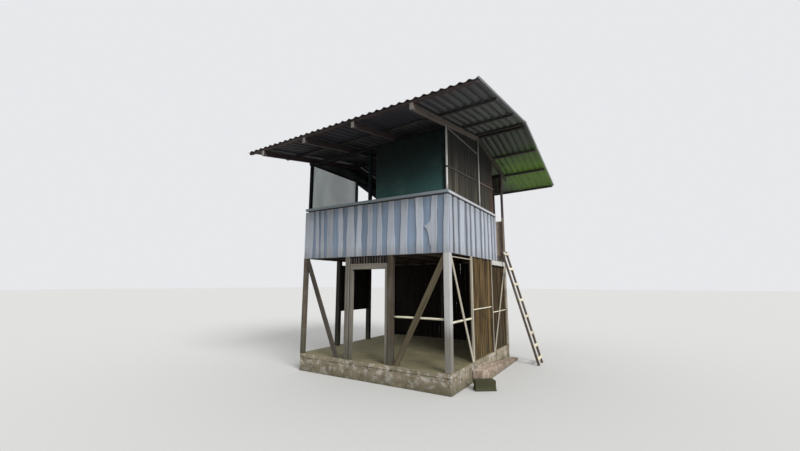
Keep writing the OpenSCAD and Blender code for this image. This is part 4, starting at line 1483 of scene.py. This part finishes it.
class STILTHOUSE_OT_nails(bpy.types.Operator):
    """Nail heads in the pale boards, the rungs and the roof sheets"""

    bl_idname = "stilthouse.nails"
    bl_label = "Nails"

    def execute(self, context):
        width = context.scene.stilt_house_sizes.nail
        steel = nail_metal("nail heads")
        shapes = []
        for node, out in (("front_pale_boards", -AXES[1]), ("side_pale_boards", AXES[0])):
            for solid in solids_of(node):
                low, high = extent(solid)
                facing = -AXES[0] if node.startswith("side") and low.x < 0 else out
                run = 0 if abs(facing.y) > 0.5 else 1
                face = high if facing[1 - run] > 0 else low
                for z in (low.z + 0.07, low.z + 0.62, high.z - 0.06):
                    start, end = reach_at(solid, run, z)
                    for share in (0.34, 0.66):
                        spot = face.copy()
                        spot[run] = start + (end - start) * share
                        spot.z = z
                        shapes.append(self.head(spot, facing, width))
                solid.free()
        out = Vector((math.cos(LADDER_LEAN), 0, math.sin(LADDER_LEAN)))
        for solid in solids_of("ladder_rungs"):
            low, high = extent(solid)
            solid.free()
            centre = (low + high) / 2 + out * RUNG_T / 2
            for y in (-RUNG_NAIL_Y, RUNG_NAIL_Y):
                shapes.append(self.head(centre + AXES[1] * y, out, width))
        piece("board_nails", shapes, [steel])

        shapes = []
        crest = WAVE_H + SHEET_T - 0.0015
        for back, rows in ((False, FRONT_PURLIN_YS), (True, BACK_PURLIN_YS)):
            for y in rows:
                down = abs(y - RIDGE_Y) / math.cos(ROOF_PITCH)
                if down < 0.25:
                    continue
                slope = slope_frame(back, SHEET_T if back and y < LAP_Y else 0.0)
                out = (slope.to_3x3() @ UP).normalized()
                for i in range(1, WAVES, 2):
                    spot = slope @ Vector((ROOF_LEFT + i * WAVE_PITCH, -down, crest))
                    shapes.append(self.head(spot, out, width * 1.9))
        piece("roof_nails", shapes, [steel])
        return {"FINISHED"}

    def head(self, spot, facing, width):
        """A low domed head that sits on the surface."""
        shape = bmesh.new()
        turn = UP.rotation_difference(facing).to_matrix().to_4x4()
        place = Matrix.Translation(spot + facing * width * 0.08) @ turn
        bmesh.ops.create_cone(shape, cap_ends=True, segments=10, radius1=width / 2,
                              radius2=width * 0.28, depth=width * 0.3, matrix=place)
        lay_grain(shape, facing, 900 + spot.x)
        return shape


class STILTHOUSE_OT_stage(bpy.types.Operator):
    """Floor, soft light, backdrop and camera"""

    bl_idname = "stilthouse.stage"
    bl_label = "Stage"

    def execute(self, context):
        light = context.scene.stilt_house_light
        scene = context.scene
        scene.view_settings.view_transform = "Standard"

        f = Finish("studio floor")
        seen = self.seen(f)
        specks = f.cloud(f.place(), 6.0, 4.0)
        paper = f.mix(f.fit(specks, 0.3, 0.7, 0.0, 0.04), tuple(light.floor), (0.62, 0.62, 0.60))
        finish = f.done(f.mix(seen, tuple(light.bounce), paper), 0.95)
        ground = bmesh.new()
        bmesh.ops.create_grid(ground, x_segments=1, y_segments=1, size=150)
        floor = linked("studio_floor", ground, [finish])
        floor.location.z = -0.002

        w = Sky("studio light")
        scene.world = w.world
        sky = w.node("ShaderNodeTexCoord").outputs["Generated"]
        rise = w.fit(w.part(sky, "Z"), -0.05, 0.75, 0.45, 1.0)
        soft = w.node("ShaderNodeCombineColor", {0: rise, 1: rise, 2: rise}).outputs[0]
        shown = w.mix(self.seen(w), soft, tuple(light.backdrop))
        power = w.mix(self.seen(w), (light.sky,) * 3, (1.0, 1.0, 1.0))
        back = w.tree.nodes["Background"]
        w.put(back.inputs["Color"], w.mix(1.0, shown, power, "MULTIPLY"))

        lamp = bpy.data.lights.new("key", "SUN")
        lamp.energy = light.key
        lamp.angle = light.soft
        key = bpy.data.objects.new("key", lamp)
        key.rotation_euler = KEY_FROM.to_track_quat("Z", "Y").to_euler()
        scene.collection.objects.link(key)

        camera = bpy.data.cameras.new("camera")
        camera.sensor_width = 36.0
        camera.lens = CAMERA_LENS
        camera.clip_start, camera.clip_end = 0.05, 500.0
        eye = bpy.data.objects.new("camera", camera)
        turn = (Matrix.Rotation(CAMERA_YAW, 4, "Z")
                @ Matrix.Rotation(math.pi / 2 + CAMERA_LIFT, 4, "X")
                @ Matrix.Rotation(CAMERA_ROLL, 4, "Z"))
        eye.matrix_world = Matrix.Translation(HOUSE + CAMERA_AT) @ turn
        scene.collection.objects.link(eye)
        scene.camera = eye
        return {"FINISHED"}

    def seen(self, f):
        """1 for rays from the camera, a mirror or glass, which show the pale backdrop."""
        path = f.node("ShaderNodeLightPath")
        first = f.maths("MAXIMUM", path.outputs["Is Camera Ray"], path.outputs["Is Glossy Ray"])
        return f.maths("MAXIMUM", first, path.outputs["Is Transmission Ray"])


BUILDERS = (
    STILTHOUSE_OT_base,
    STILTHOUSE_OT_posts,
    STILTHOUSE_OT_bracing,
    STILTHOUSE_OT_lower_boards,
    STILTHOUSE_OT_deck,
    STILTHOUSE_OT_cladding,
    STILTHOUSE_OT_upper_boards,
    STILTHOUSE_OT_poles,
    STILTHOUSE_OT_nets,
    STILTHOUSE_OT_roof_timber,
    STILTHOUSE_OT_roof_sheets,
    STILTHOUSE_OT_ladder,
    STILTHOUSE_OT_nails,
    STILTHOUSE_OT_stage,
)
GROUPS = {
    "stilt_house_wood": StiltHouseWood,
    "stilt_house_paint": StiltHousePaint,
    "stilt_house_sizes": StiltHouseSizes,
    "stilt_house_light": StiltHouseLight,
}


class STILTHOUSE_PT_panel(bpy.types.Panel):
    """Lists the settings and the builders"""

    bl_idname = "STILTHOUSE_PT_panel"
    bl_label = "Stilt house"
    bl_space_type = "VIEW_3D"
    bl_region_type = "UI"
    bl_category = "Stilt house"

    def draw(self, context):
        for name, group in GROUPS.items():
            box = self.layout.box()
            box.label(text=group.__doc__)
            for field in group.__annotations__:
                box.prop(getattr(context.scene, name), field)
        for builder in BUILDERS:
            self.layout.operator(builder.bl_idname)


def register():
    for group in GROUPS.values():
        bpy.utils.register_class(group)
    for name, group in GROUPS.items():
        setattr(bpy.types.Scene, name, bpy.props.PointerProperty(type=group))
    for builder in (*BUILDERS, STILTHOUSE_PT_panel):
        bpy.utils.register_class(builder)


def unregister():
    for builder in (STILTHOUSE_PT_panel, *reversed(BUILDERS)):
        bpy.utils.unregister_class(builder)
    for name in GROUPS:
        delattr(bpy.types.Scene, name)
    for group in reversed(GROUPS.values()):
        bpy.utils.unregister_class(group)


def main():
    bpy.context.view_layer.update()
    register()
    for builder in BUILDERS:
        group, name = builder.bl_idname.split(".")
        getattr(getattr(bpy.ops, group), name)()


if __name__ == "__main__":
    main()
